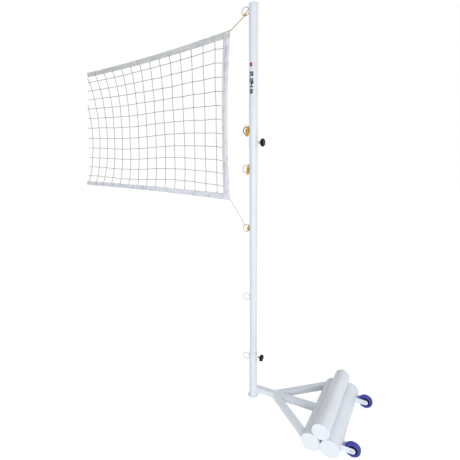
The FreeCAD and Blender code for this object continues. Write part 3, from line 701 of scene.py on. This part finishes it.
def row_share(row, x):
    """The share of the net's height at a row of knots. The first and last cells are part rows."""
    if row in (0, NET_ROWS):
        return row / NET_ROWS
    top, bottom = between(TOP_ROW_SHARES, x), between(BOTTOM_ROW_SHARES, x)
    return (bottom + row - 1) / (bottom + NET_ROWS - 2 + top)


def height_share(x, z):
    """0 at the bottom band's upper edge, 1 at the top band's lower edge."""
    low, high = BOTTOM_INNER.height(x), TOP_INNER.height(x)
    return clamped((z - low) / (high - low))


def distance_along(x):
    """0 beside the post, 1 at the net's far end."""
    return clamped((NET_START - x) / NET_LENGTH)


def uneven(x, y, z):
    """Smooth noise from about -1 to 1."""
    return noise.noise(Vector((x, y, z)))


def billow(x, z):
    """How far the net hangs back from its plane: most at mid-height, more away from the post."""
    along = clamped((-0.22 - x) / 1.2)
    up = math.sin(math.pi * height_share(x, z))
    slack = 0.010 * uneven(x * 3.1, 4.2, z * 3.3)
    return BILLOW * up**0.65 * math.sin(along * math.pi / 2) + slack * up


def column_x(column, share):
    """x of a vertical twine at a share of its height, through its three measured places."""
    top, middle, bottom = column
    a = 2 * (top + bottom - 2 * middle)
    b = 4 * middle - top - 3 * bottom
    return a * share * share + b * share + bottom


def crossing_place(column, row):
    """Where a row crosses a vertical twine: its height, a lift towards the far end, a low wave."""
    share = row_share(row, column[1])
    x = column_x(column, share)
    low, high = BOTTOM_INNER.height(x), TOP_INNER.height(x)
    lower_part = min(1.0, share / 0.04) * clamped((0.75 - share) / 0.4)
    z = low + (high - low) * share + between(ROW_LIFTS, x) * math.sin(math.pi * share)
    z -= between(ROW_BENDS, x) * math.sin(math.tau * share)
    z -= ROW_WAVE * math.cos(math.tau * distance_along(x) / 0.73) * lower_part
    return Vector((x, billow(x, z), z))


RUN_STEPS = 5


def twine_run(start, end):
    """A short run of twine between two knots, slightly slack."""
    sag = random.uniform(0.0, SAG)
    middle = (start + end) / 2 + Vector((0, sag * 0.4, -sag))
    places = []
    for k in range(RUN_STEPS + 1):
        t = k / RUN_STEPS
        places.append(start.lerp(middle, t).lerp(middle.lerp(end, t), t))
    return places


def knot(build, centre, size):
    """A tight mesh knot: three short crossed coils."""
    for way, across in (
        (Vector((1, 0.25, 0.35)), Vector((0, 1, 0))),
        (Vector((-0.3, 0.3, 1)), Vector((0, 1, 0))),
        (Vector((0.7, -0.5, -0.7)), Vector((0, 0, 1))),
    ):
        way = way.normalized()
        side = way.cross(across).normalized()
        up = way.cross(side)
        places = ring_of(centre, side, up, size * 0.52, 8, random.uniform(0, 1))
        places = [p + way * size * 0.16 * math.sin(k * 1.6) for k, p in enumerate(places)]
        rows = []
        for place in places + [places[0]]:
            spoke = (place - centre).normalized()
            rows.append(ring_of(place, spoke, way, size * 0.36, 6))
        build.rows(rows, caps=False)


def net_mesh():
    build = Build()
    side_top, side_low = inner_side(TOP_INNER.points[0][1]), inner_side(BOTTOM_INNER.points[0][1])
    side_line = (side_top, inner_side(MIDDLE_Z) - SIDE_HOLLOW / 2, side_low)
    columns = [side_line] + [column(k) for k in range(NET_COLUMNS)]
    rows = range(NET_ROWS + 1)
    grid = [[crossing_place(line, row) for row in rows] for line in columns]
    for row in range(NET_ROWS):
        grid[0][row].z -= 0.005 + 0.007 * row / NET_ROWS
    for line in grid[1:]:
        for row in range(1, NET_ROWS):
            jitter = Vector([random.uniform(-1, 1) for _ in range(3)])
            line[row] += jitter * KNOT_JITTER
    end_line = (LEFT(2.29) - 0.01, LEFT(MIDDLE_Z) - 0.06, LEFT(1.494) - 0.01)
    ends = [crossing_place(end_line, row) for row in rows]

    def inside(place):
        return place.x > max(LEFT(place.z) - 1.05 * place.y, NET_END) + EDGE_ROOM

    def run(first, second):
        if not inside(first):
            first, second = second, first
        if not inside(first):
            return
        if not inside(second):
            low, high = 0.0, 1.0
            for _ in range(24):
                share = (low + high) / 2
                if inside(first.lerp(second, share)):
                    low = share
                else:
                    high = share
            second = first.lerp(second, low)
        if (second - first).length < SHORTEST_RUN:
            return
        build.rows(tube_rows(twine_run(first, second), TWINE / 2, 6))

    for line in grid[1:]:
        for a, b in zip(line, line[1:]):
            run(a, b)
    for first, second in zip(grid, grid[1:] + [ends]):
        for row in range(1, NET_ROWS):
            run(first[row], second[row])
    for k, line in enumerate(grid):
        for row, place in enumerate(line):
            if (k or 0 < row < NET_ROWS) and inside(place - Vector((KNOT_ROOM, 0, 0))):
                knot(build, place, TWINE * (1.05 if k else 0.8))
    outward(build.object("net", "top", "twine", replaces=["net_mesh"]))


def crease(x, z, scale, seed):
    """Sharp-ridged noise for folded cloth, from -1 to 1."""
    value = uneven(x * scale, seed, z * scale)
    ridge = 1 - 2 * abs(uneven(x * scale * 0.6, seed + 7, z * scale * 1.1))
    return 0.6 * value + 0.4 * (ridge - 0.6)


CLOTH = 0.0006
LAYER_OUT = 0.0009
SWAY = 0.0042
FOLD_DEPTH = 0.0013
FOLD_LIFT = 0.0026
CRUMPLED_LENGTH = 0.5
# Cord's line, tape's edge, way to the fold, bore, wrinkles and more of them by the post, material
TOP_HEM = (HEAD, TOP_INNER, 1, ROPE / 2 + 0.0003, 0.85, 0, None)
BOTTOM_HEM = (FOOT, BOTTOM_INNER, -1, THIN_ROPE / 2 + 0.0012, 0.9, 1.8, PALE_CLOTH)
PATCH_WIDTH = 0.044
PATCH_OUTSET = 0.0011


def folded_rows(hem, start, end, step=0.004, outset=0.0):
    """Rows of a tape folded over its cord: two layers that meet along the net, with wrinkles."""
    edge, inner, down, bore, calm, crumpled, _ = hem
    count = round((start - end) / step)
    around = 7
    rise = 9
    stations = [(-1, j / rise) for j in range(rise)]
    stations += [(0, j / (around - 1)) for j in range(around)]
    stations += [(1, 1 - (j + 1) / rise) for j in range(rise)]
    rows = []
    for k in range(count + 1):
        x = start + (end - start) * k / count
        core_z = edge.height(x)
        inner_z = inner.height(x)
        sway = calm + crumpled * max(0.0, 1 - (NET_START - x) / CRUMPLED_LENGTH)
        points = []
        for side, share in stations:
            if side == 0:
                angle = math.pi * share
                y = -math.cos(angle) * (bore + CLOTH + outset)
                z = core_z + down * math.sin(angle) * (bore + CLOTH + outset)
                loose = 0.12
            else:
                y = side * (LAYER_OUT + outset + (bore + CLOTH - LAYER_OUT) * share**2.5)
                z = inner_z + (core_z - inner_z) * share
                loose = (1 - share) ** 0.6
            fold = crease(x, z, 34, 1.5) + 0.6 * crease(x, z, 90, 9.5)
            y += sway * (0.12 + 0.88 * loose) * SWAY * uneven(x * 21, 2.2, z * 16)
            y += side * sway * FOLD_DEPTH * max(-0.3, fold)
            lift = sway * FOLD_LIFT * uneven(x * 26, 6.4, z * 9) * (1 - 0.5 * loose)
            z += lift * (1 if lift * down > 0 else 0.3)
            points.append(Vector((x, y, z)))
        rows.append(points)
    return rows


def cloth_object(rows, name, replaces=(), round_way=False, material=None):
    build = Build()
    build.rows(rows, round_way=round_way, caps=False)
    thing = build.object(name, "top", "band_cloth", material, replaces=replaces)
    solid = thing.modifiers.new("cloth", "SOLIDIFY")
    solid.thickness = CLOTH
    solid.offset = 0
    return thing


def seam_object(build, name):
    build.object(name, "top", "band_cloth", MATERIALS["band_thread"])


def seams(rows, name, places):
    """Stitches along a band, at the same places on its front and its back layer."""
    build = Build()
    width = len(rows[0])
    for place in places:
        for index, side in ((place, -1), (width - 1 - place, 1)):
            low, high = int(index), min(int(index) + 1, width - 1)
            line = [row[low].lerp(row[high], index - low) for row in rows]
            stitch_line(build, line, side)
    seam_object(build, name)


def folded_band(name, node, hem):
    edge = hem[0]
    rows = folded_rows(hem, edge.crossing(RIGHT).x, edge.crossing(LEFT).x)
    thing = cloth_object(rows, name, [node], material=hem[-1])
    seams(rows, f"{name}_seam", (0.9, 6.6))


def corner_patch(name, hem):
    """The upright tape's end, folded over a long tape at the net's corner."""
    edge, inner, _, bore, _, _, material = hem
    start = edge.crossing(RIGHT).x - 0.0003
    rows = folded_rows(hem, start, start - PATCH_WIDTH, 0.0022, PATCH_OUTSET)
    thing = cloth_object(rows, name, material=material)
    tall = abs(edge.height(start) - inner.height(start))
    build = Build()
    for row in (rows[1], rows[-3]):
        for line, side in ((row[:9], -1), (row[16:], 1)):
            stitch_line(build, line, side)
    seam_object(build, f"{name}_seam")


SIDE_FOLD = 0.0052
FOLD_FALL = 0.22


def side_band():
    """The tape round the net's upright edge: two layers with a long fold, wavy near the bottom."""
    count = 300
    across = 15
    right_top, right_low = TOP_INNER.crossing(RIGHT), BOTTOM_INNER.crossing(RIGHT)
    left_top, left_low = TOP_INNER.crossing(inner_side), BOTTOM_INNER.crossing(inner_side)
    rows = []
    for k in range(count + 1):
        share = k / count
        right = right_top.lerp(right_low, share)
        left = left_top.lerp(left_low, share)
        z = right.z
        loose = 0.3 + 0.7 * share**2
        hollow = SIDE_HOLLOW * math.sin(math.pi * share)
        right = right - Vector((hollow, 0, 0))
        left = left - Vector((hollow / 2, 0, 0))
        waist = 1 - 0.05 * loose * uneven(3, 3, z * 16)
        ridge = 0.40 + 0.07 * math.sin(z * 5) + 0.03 * uneven(9, 2, z * 19)
        points = []
        for j in range(2 * across):
            front = j < across
            u = (j + 0.5) / across if front else 2 - (j + 0.5) / across
            base = right.lerp(left, 0.5 + (u - 0.5) * waist)
            bulge = math.sin(math.pi * u) ** 0.6
            if u < ridge:
                fold = math.sin(u / ridge * math.pi / 2)
            else:
                fold = math.cos(min(1, (u - ridge) / FOLD_FALL) * math.pi / 2)
            y = -(0.0012 + 0.0030 * bulge + SIDE_FOLD * fold) if front else 0.0010 + 0.0022 * bulge
            y += 0.009 * loose * share * uneven(1.7, 8.1, z * 7)
            y += 0.0026 * loose * crease(base.x * 2, z, 30, 3.3 if front else 5.1) * (1 if front else -0.6)
            y += -0.0012 * abs(uneven(base.x * 40, 4.4, z * 13)) if front else 0
            edge_wave = 0.0024 * loose * uneven(5.5 + round(u), 1.1, z * 24)
            points.append(Vector((base.x + edge_wave, y, base.z)))
        rows.append(points)
    thing = cloth_object(rows, "side_tape", ["side_band"], round_way=True, material=SIDE_CLOTH)
    build = Build()
    for index, side in ((across - 2.2, -1), (across + 1.2, 1)):
        low = int(index)
        stitch_line(build, [row[low].lerp(row[low + 1], index - low) for row in rows], side)
    seam_object(build, "side_tape_seam")


STITCH = 0.0034
STITCH_GAP = 0.0016
THREAD_RADIUS = 0.00032


def stitch_line(build, places, side):
    """Thread stitches on a line of places in a cloth's middle, on its front (-1) or back (1)."""
    fine = even_steps(places, (STITCH + STITCH_GAP) / 2)
    over = Vector((0, side, 0)) * (CLOTH / 2 + THREAD_RADIUS * 0.6)
    for a, b in zip(fine[:-1:2], fine[1::2]):
        stitch = [a, a.lerp(b, 0.15) + over, a.lerp(b, 0.85) + over, b]
        build.rows(tube_rows(stitch, THREAD_RADIUS, 5))


# Ropes


def rope_piece(name, nodes, body, points, diameter, slot, blend=None, material=None):
    build = Build()
    path = laid_rope(build, route(points), diameter)
    thing = build.object(name, None if blend else body, slot, material, replaces=nodes)
    if blend:
        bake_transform(thing)


TURN_STEPS = 12


def helix(centre, along, out, radius, pitch, turns, hand):
    """Control points of a coil, slightly uneven."""
    side = along.cross(out)
    points = []
    for k in range(turns * TURN_STEPS + 1):
        angle = hand * math.tau * k / TURN_STEPS
        wobble = 1 + 0.02 * math.sin(3.7 * k)
        spoke = out * math.cos(angle) + side * math.sin(angle)
        points.append(centre + spoke * radius * wobble + along * (pitch * k / TURN_STEPS))
    return points


COIL_GAP = 0.0005
WIRE_GAP = 0.0004
# Diameter, coil radius, x, tube radius, ring diameter, ring height, turns, hand, tail, body
HANKS = {
    "upper": (ROPE, 0.0095, -0.037, UPPER_RADIUS, 0.047, 1.846, 8, -1, 0.024, "top"),
    "middle": (ROPE, 0.0070, -0.034, MAST_RADIUS, 0.052, 1.611, 8, 1, 0.018, "mast"),
    "lower": (THIN_ROPE, 0.0046, -0.033, MAST_RADIUS, 0.052, 1.228, 6, 1, 0.012, "mast"),
}


def hank(name):
    """Spare rope hung over a ring's wire and wound round its own strand."""
    dia, coil, x, tube_radius, ring_dia, height, turns, hand, tail, body = HANKS[name]
    ring_x = -(tube_radius + ring_dia / 2 - 0.001)
    ring_radius = (ring_dia - RING_WIRE) / 2
    top = height + math.sqrt(ring_radius**2 - (x - ring_x) ** 2)
    front = -(RING_WIRE / 2 + coil + dia / 2 + WIRE_GAP)
    back = RING_WIRE / 2 + dia / 2 + WIRE_GAP
    middle = (front + back) / 2
    pitch = dia + COIL_GAP
    lowest = top - dia - turns * pitch
    over = (back - front) / 2
    spots = (
        (back, top - 0.022),
        (back, top - 0.010),
        (back, top + over * 0.55),
        (middle + over * 0.5, top + over * 1.12),
        (middle - over * 0.5, top + over * 1.12),
        (front, top + over * 0.5),
        (front, top - 0.010),
        (front, (top + lowest) / 2),
        (front, lowest + dia),
        (front, lowest - dia * 0.4),
    )
    points = [Vector((x, y, z)) for y, z in spots]
    points += [
        Vector((x - hand * coil * 0.6, front, lowest - dia * 1.1)),
        Vector((x - hand * coil * 0.87, front - coil * 0.5, lowest - dia * 0.6)),
    ]
    centre = Vector((x, front, lowest))
    points += helix(centre, UP, Vector((0, -1, 0)), coil, pitch, turns, hand)
    last = points[-1]
    points += [
        last + Vector((hand * coil * 0.55, 0, tail * 0.22)),
        last + Vector((hand * tail * 0.36, 0, tail * 0.6)),
        last + Vector((hand * tail * 0.46, 0, tail)),
    ]
    rope_piece(f"hank_{name}", [f"rope_hank_{name}"], body, points, dia, "gold_rope")


# From near the net's corners to the post
HEAD_ROUTE = (
    (-0.068, -0.013, 2.478), (-0.054, -0.015, 2.486), (-0.048, -0.003, 2.506),
    (-0.038, 0.015, 2.534), (-0.016, 0.031, 2.543), (0.012, 0.031, 2.544),
)
FOOT_ROUTE = ((-0.060, -0.006, 1.250), (-0.040, -0.0005, 1.2135))


def tie_points(edge, run, spots):
    """Control points of a cord that leaves its hem straight for a short run."""
    corner = edge.crossing(RIGHT)
    return [corner, corner + edge.direction(corner.x) * run] + [Vector(p) for p in spots]


def ropes():
    points = tie_points(HEAD, 0.009, HEAD_ROUTE)
    rope_piece(
        "head_rope", ["upper_rope"], "top", points, ROPE, "gold_rope",
        material=TAUT_ROPE,
    )
    along = (points[4] - points[3]).normalized()
    out = Vector((0, -1, 0)).cross(along).normalized()
    radius = ROPE / 2 + THIN_ROPE / 2 + 0.0006
    start = points[3] + along * 0.008
    turns = helix(start, along, out, radius, THIN_ROPE + COIL_GAP, 3, 1)
    rope_piece("head_knot", ["upper_rope_knot"], "top", turns, THIN_ROPE, "gold_rope")

    points = tie_points(FOOT, 0.008, FOOT_ROUTE)
    rope_piece(
        "foot_rope", ["lower_rope"], "mast", points, THIN_ROPE, "pale_rope",
        blend=("mast", "top", tuple(points[2]), tuple(points[1])),
    )
    for name in HANKS:
        hank(name)


def hem_cord(name, node, edge, diameter, slot):
    """The cord in a hem, from the post's end of the net to its far end."""
    start, end = edge.crossing(RIGHT).x, edge.crossing(LEFT).x
    count = 60
    stations = [start + (end - start) * k / count for k in range(count + 1)]
    places = [Vector((x, 0, edge.height(x))) for x in stations]
    build = Build()
    laid_rope(build, places, diameter, sides=6, step=0.4)
    build.object(name, "top", slot, replaces=[node])


# Knobs, wheels, welds, marks

UPPER_KNOB_Z = 1.772
LOWER_KNOB_Z = 0.313
LOBES = 6
LOBE_DIP = 0.20


def clamp_knob(name, height):
    """A six-lobed clamping knob with a crowned face and a short skirt."""
    start, width, radius = 0.053, 0.018, 0.024
    sides = 96
    profile = [
        (-0.0032, 0.0076, 0.0), (-0.0032, 0.0090, 0.0), (-0.0028, 0.0096, 0.0), (0.0, 0.0100, 0.0),
        (0.0001, 0.0125, 0.05), (0.0002, 0.82 * radius, 0.8), (0.0003, 0.94 * radius, 1.0),
        (0.0009, 0.98 * radius, 1.0), (0.0020, 0.995 * radius, 1.0), (0.0050, radius, 1.0),
        (0.0130, radius, 1.0), (0.0152, 0.99 * radius, 1.0), (0.0166, 0.965 * radius, 1.0),
        (0.0175, 0.91 * radius, 1.0), (width, 0.82 * radius, 0.9), (width, 0.56 * radius, 0.5),
        (0.0176, 0.50 * radius, 0.2), (0.0168, 0.46 * radius, 0.0), (0.0166, 0.0004, 0.0),
    ]
    rows = []
    for along, size, lobed in profile:
        row = []
        for j in range(sides):
            angle = math.tau * j / sides
            dip = (0.5 + 0.5 * math.cos(LOBES * angle)) ** 1.9
            r = size * (1 - LOBE_DIP * lobed * dip)
            row.append(Vector((start + along, r * math.cos(angle), height + r * math.sin(angle))))
        rows.append(row)
    build = Build()
    build.rows(rows)
    node = f"{name}_knob"
    thing = build.object(f"grip_{name}", node, "black_plastic", replaces=[node])
    sharpen(outward(thing), 32)


THREAD_SPAN = (0.0400, 0.0480)
THREAD_PITCH = 0.0015
THREAD_REACH = 0.00505
THREAD_STEPS = 20


def thread(name, height):
    """The turned thread that shows between a nut and its knob."""
    first, last = THREAD_SPAN
    places = []
    for k in range(int((last - first) / THREAD_PITCH * THREAD_STEPS) + 1):
        angle = math.tau * k / THREAD_STEPS
        y, z = THREAD_REACH * math.cos(angle), THREAD_REACH * math.sin(angle)
        places.append(Vector((first + THREAD_PITCH * k / THREAD_STEPS, y, height + z)))
    build = Build()
    build.rows(tube_rows(places, 0.00055, 5))
    build.object(f"thread_{name}", f"{name}_knob", "stem_brass")


AXLE = Vector((0.73215, 0, 0.0526))
WHEEL_Y = 0.23


def wheel_tyre(name, y):
    """A cast tyre: crowned tread, a moulding line, stepped side walls."""
    half = [
        (0.0006, 0.0450), (0.0030, 0.04495), (0.0070, 0.0447), (0.0105, 0.0439), (0.0128, 0.0420),
        (0.0139, 0.0390), (0.0140, 0.0360), (0.0134, 0.0352), (0.0134, 0.0342), (0.0140, 0.0335),
        (0.0138, 0.0300), (0.0130, 0.0275),
    ]
    outline = [(-along, radius) for along, radius in reversed(half)] + [(0.0, 0.04535)] + half
    centre = AXLE + Vector((0, y, 0))
    build = Build()
    rows = []
    for along, radius in outline + [outline[0]]:
        rows.append(ring_of(centre + Vector((0, along, 0)), Vector((1, 0, 0)), UP, radius, 96))
    build.rows(rows, caps=False)
    thing = build.object(f"tyre_ring_{name}", f"wheel_{name}", "tyre_blue", replaces=[f"tyre_{name}"])
    sharpen(outward(thing), 35)


PIPE = 0.05715
TOP_PIPE = 0.0508
PIPE_X = 0.503
PIPE_STEP = 0.1146
TOP_PIPE_Z = PIPE + math.sqrt((PIPE + TOP_PIPE + 0.0003) ** 2 - (PIPE_STEP / 2) ** 2)
PIPE_HALF = 0.295
ARM_HALF = 0.019
ARM_Z = 0.062
BRANCH_START = 0.163
BRANCH_SPREAD = 0.252
PLATE_TOP = 0.0112
CHEEK_OFFSET = 0.0185
CHEEK_HALF = 0.002
CHEEK_ENDS = (0.0356, 0.0696)
PIPE_BEADS = ((-0.292, -0.232), (-0.03, 0.03), (0.232, 0.292))


def round_line(centre, axis, radius, count=72):
    side = axis.orthogonal().normalized()
    return ring_of(centre, side, axis.cross(side).normalized(), radius, count)


def corners_line(corners, count=14):
    """Places along a closed line through corners."""
    places = []
    for a, b in zip(corners, corners[1:] + corners[:1]):
        places += [a.lerp(b, k / count) for k in range(count)]
    return places


def rectangle(left, right, low, high):
    return [(left, high), (right, high), (right, low), (left, low)]


def base_welds():

    def front_pipe_x(z):
        return PIPE_X - math.sqrt(PIPE**2 - (z - PIPE) ** 2)

    def rear_pipe_x(z):
        return PIPE_X + PIPE_STEP + math.sqrt(PIPE**2 - (z - PIPE) ** 2)

    low, high = ARM_Z - ARM_HALF, ARM_Z + ARM_HALF
    square = corners_line([Vector((0, y, z)) for y, z in rectangle(-ARM_HALF, ARM_HALF, low, high)])
    lines = [round_line(Vector((0, 0, PLATE_TOP)), UP, SOCKET_RADIUS)]
    lines.append([Vector((math.sqrt(SOCKET_RADIUS**2 - p.y**2), p.y, p.z)) for p in square])
    lines.append([Vector((front_pipe_x(p.z), p.y, p.z)) for p in square])
    slant = math.atan2(BRANCH_SPREAD, PIPE_X - PIPE - BRANCH_START)
    for side in (-1, 1):
        middle = BRANCH_START + ARM_HALF / math.tan(slant)
        first, last = middle - ARM_HALF / math.sin(slant), middle + ARM_HALF / math.sin(slant)
        spots = rectangle(first, last, low, high)
        lines.append(corners_line([Vector((x, side * ARM_HALF, z)) for x, z in spots]))
        rim = []
        for p in square:
            x = front_pipe_x(p.z)
            reach = (x - BRANCH_START + p.y * math.sin(slant)) / math.cos(slant)
            rim.append(Vector((x, side * (reach * math.sin(slant) + p.y * math.cos(slant)), p.z)))
        lines.append(rim)
    for wheel_y in (-WHEEL_Y, WHEEL_Y):
        for cheek_y in (wheel_y - CHEEK_OFFSET, wheel_y + CHEEK_OFFSET):
            spots = rectangle(-CHEEK_HALF, CHEEK_HALF, *CHEEK_ENDS)
            rim = corners_line([Vector((0, cheek_y + y, z)) for y, z in spots], 8)
            lines.append([Vector((rear_pipe_x(p.z), p.y, p.z)) for p in rim])
    welded("welds_base", "base", lines, 0.0021)
    rims = []
    for x, z, radius in (
        (PIPE_X, PIPE, PIPE),
        (PIPE_X + PIPE_STEP, PIPE, PIPE),
        (PIPE_X + PIPE_STEP / 2, TOP_PIPE_Z, TOP_PIPE),
    ):
        for y in (-PIPE_HALF, PIPE_HALF):
            rims.append(round_line(Vector((x, y, z)), Vector((0, 1, 0)), radius - 0.0004, 96))
    welded("welds_pipe_ends", "base", rims, 0.0010)
    runs = []
    for x, hand in ((PIPE_X, 1), (PIPE_X + PIPE_STEP, -1)):
        way = Vector((PIPE_STEP / 2, 0, TOP_PIPE_Z - PIPE)).normalized()
        way.x *= hand
        outer = Vector((-way.z, 0, way.x)) * hand
        place = Vector((x, 0, PIPE)) + way * PIPE + outer * 0.0105
        for ends in PIPE_BEADS:
            runs.append([Vector((place.x, y, place.z)) for y in ends])
    welded("welds_pipes", "base", runs, 0.0026, closed=False)


RING_WELD = (0.0029, 0.0085)
NUT_WELD = 0.0098


def tube_welds(name, body, slot, radius, rings, nut=None):
    """Beads where wire rings meet a tube, and round a nut, each given by its height."""
    lines = []
    half_width, half_height = RING_WELD
    for height in rings:
        rim = []
        for p in ring_of(Vector(), Vector((0, 1, 0)), UP, 1, 24):
            y = half_width * p.y
            rim.append(Vector((-math.sqrt(radius**2 - y * y), y, height + half_height * p.z)))
        lines.append(rim)
    if nut:
        rim = corners_line(ring_of(Vector(), Vector((0, 1, 0)), UP, NUT_WELD, 6), 6)
        lines.append([Vector((math.sqrt(radius**2 - p.y**2), p.y, nut + p.z)) for p in rim])
    welded(name, body, lines, 0.0013, slot=slot)


# Lines of corners (across, up) in a sign of size 1
STROKES = {
    "2": [((0, 1), (1, 1), (1, 0.5), (0, 0.5), (0, 0), (1, 0))],
    "4": [((0, 1), (0, 0.5), (1, 0.5)), ((1, 1), (1, 0))],
    ".": [((0, 0), (0.04, 0))],
    "m": [((0, 0), (0, 0.8), (1, 0.8)), ((0.5, 0.8), (0.5, 0)), ((1, 0.8), (1, 0))],
}
MARK_FACING = math.radians(-96)
MARK_TOP = 2.1770
SIGN_SIZE = 0.0190
SIGN_BAR = 0.0033
SIGN_STEP = 0.0262
DOT_STEP = 0.0110
UNIT_GAP = 0.0080
INK_LIFT = 0.00012


def tube_bar(build, first, second, half):
    """A printed bar on the upper tube between two places, each given across the mark and up."""
    first, second = Vector(first), Vector(second)
    way = (second - first).normalized()
    wide = Vector((-way.y, way.x)) * half
    a, b = first - way * half, second + way * half
    reach = UPPER_RADIUS + INK_LIFT
    rows = []
    for k in range(7):
        row = []
        for j in range(7):
            across, z = a.lerp(b, k / 6) + wide * (1 - 2 * j / 6)
            angle = MARK_FACING + across / UPPER_RADIUS
            row.append(Vector((reach * math.cos(angle), reach * math.sin(angle), z)))
        rows.append(row)
    build.rows(rows, round_way=False)


def height_mark():
    """A plain printed height on the upper tube, read downward, under a small red bar."""
    at = MARK_TOP
    ink = Build()
    for sign in "2.24m":
        if sign == "m":
            at -= UNIT_GAP
        for line in STROKES[sign]:
            spots = [((y - 0.5) * SIGN_SIZE, at - x * SIGN_SIZE) for x, y in line]
            for first, second in zip(spots, spots[1:]):
                tube_bar(ink, first, second, SIGN_BAR)
        at -= DOT_STEP if sign == "." else SIGN_STEP
    ink.object("height_digits", "top", "post_paint", INK)
    red, ink_below = Build(), Build()
    tube_bar(red, (-0.0055, 2.2235), (-0.0005, 2.2235), 0.0065)
    tube_bar(ink_below, (-0.0085, 2.2130), (0.0025, 2.2130), 0.0035)
    ink_below.object("height_bar_foot", "top", "post_paint", INK)
    red.object("height_bar", "top", "post_paint", RED)


def dress_cad():
    """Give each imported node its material."""
    slots = {item["node"]: item["material_slot"] for item in frame["record"]["subparts"]}
    for name, thing in frame["nodes"].items():
        material = MATERIALS[slots[name]]
        for holder in [thing, *thing.children_recursive]:
            if holder.type != "MESH":
                continue
            if not holder.material_slots:
                holder.data.materials.append(material)
            for place in holder.material_slots:
                place.material = material


add_camera()
add_stage()
add_light()
dress_cad()
ropes()
hem_cord("head_line", "head_cord", HEAD, ROPE, "gold_rope")
hem_cord("foot_line", "foot_cord", FOOT, THIN_ROPE, "pale_rope")
folded_band("top_tape", "top_band", TOP_HEM)
folded_band("bottom_tape", "bottom_band", BOTTOM_HEM)
corner_patch("upper_patch", TOP_HEM)
corner_patch("lower_patch", BOTTOM_HEM)
side_band()
net_mesh()
for knob_name, knob_z in (("upper", UPPER_KNOB_Z), ("lower", LOWER_KNOB_Z)):
    clamp_knob(knob_name, knob_z)
    thread(knob_name, knob_z)
wheel_tyre("near", -WHEEL_Y)
wheel_tyre("far", WHEEL_Y)
base_welds()
tube_welds("welds_socket", "base", "white_paint", SOCKET_RADIUS, (0.303,), LOWER_KNOB_Z)
tube_welds("welds_mast", "mast", "post_paint", MAST_RADIUS, (1.611, 1.228, 0.751))
tube_welds("welds_top", "top", "post_paint", UPPER_RADIUS, (2.516, 1.846), UPPER_KNOB_Z)
height_mark()
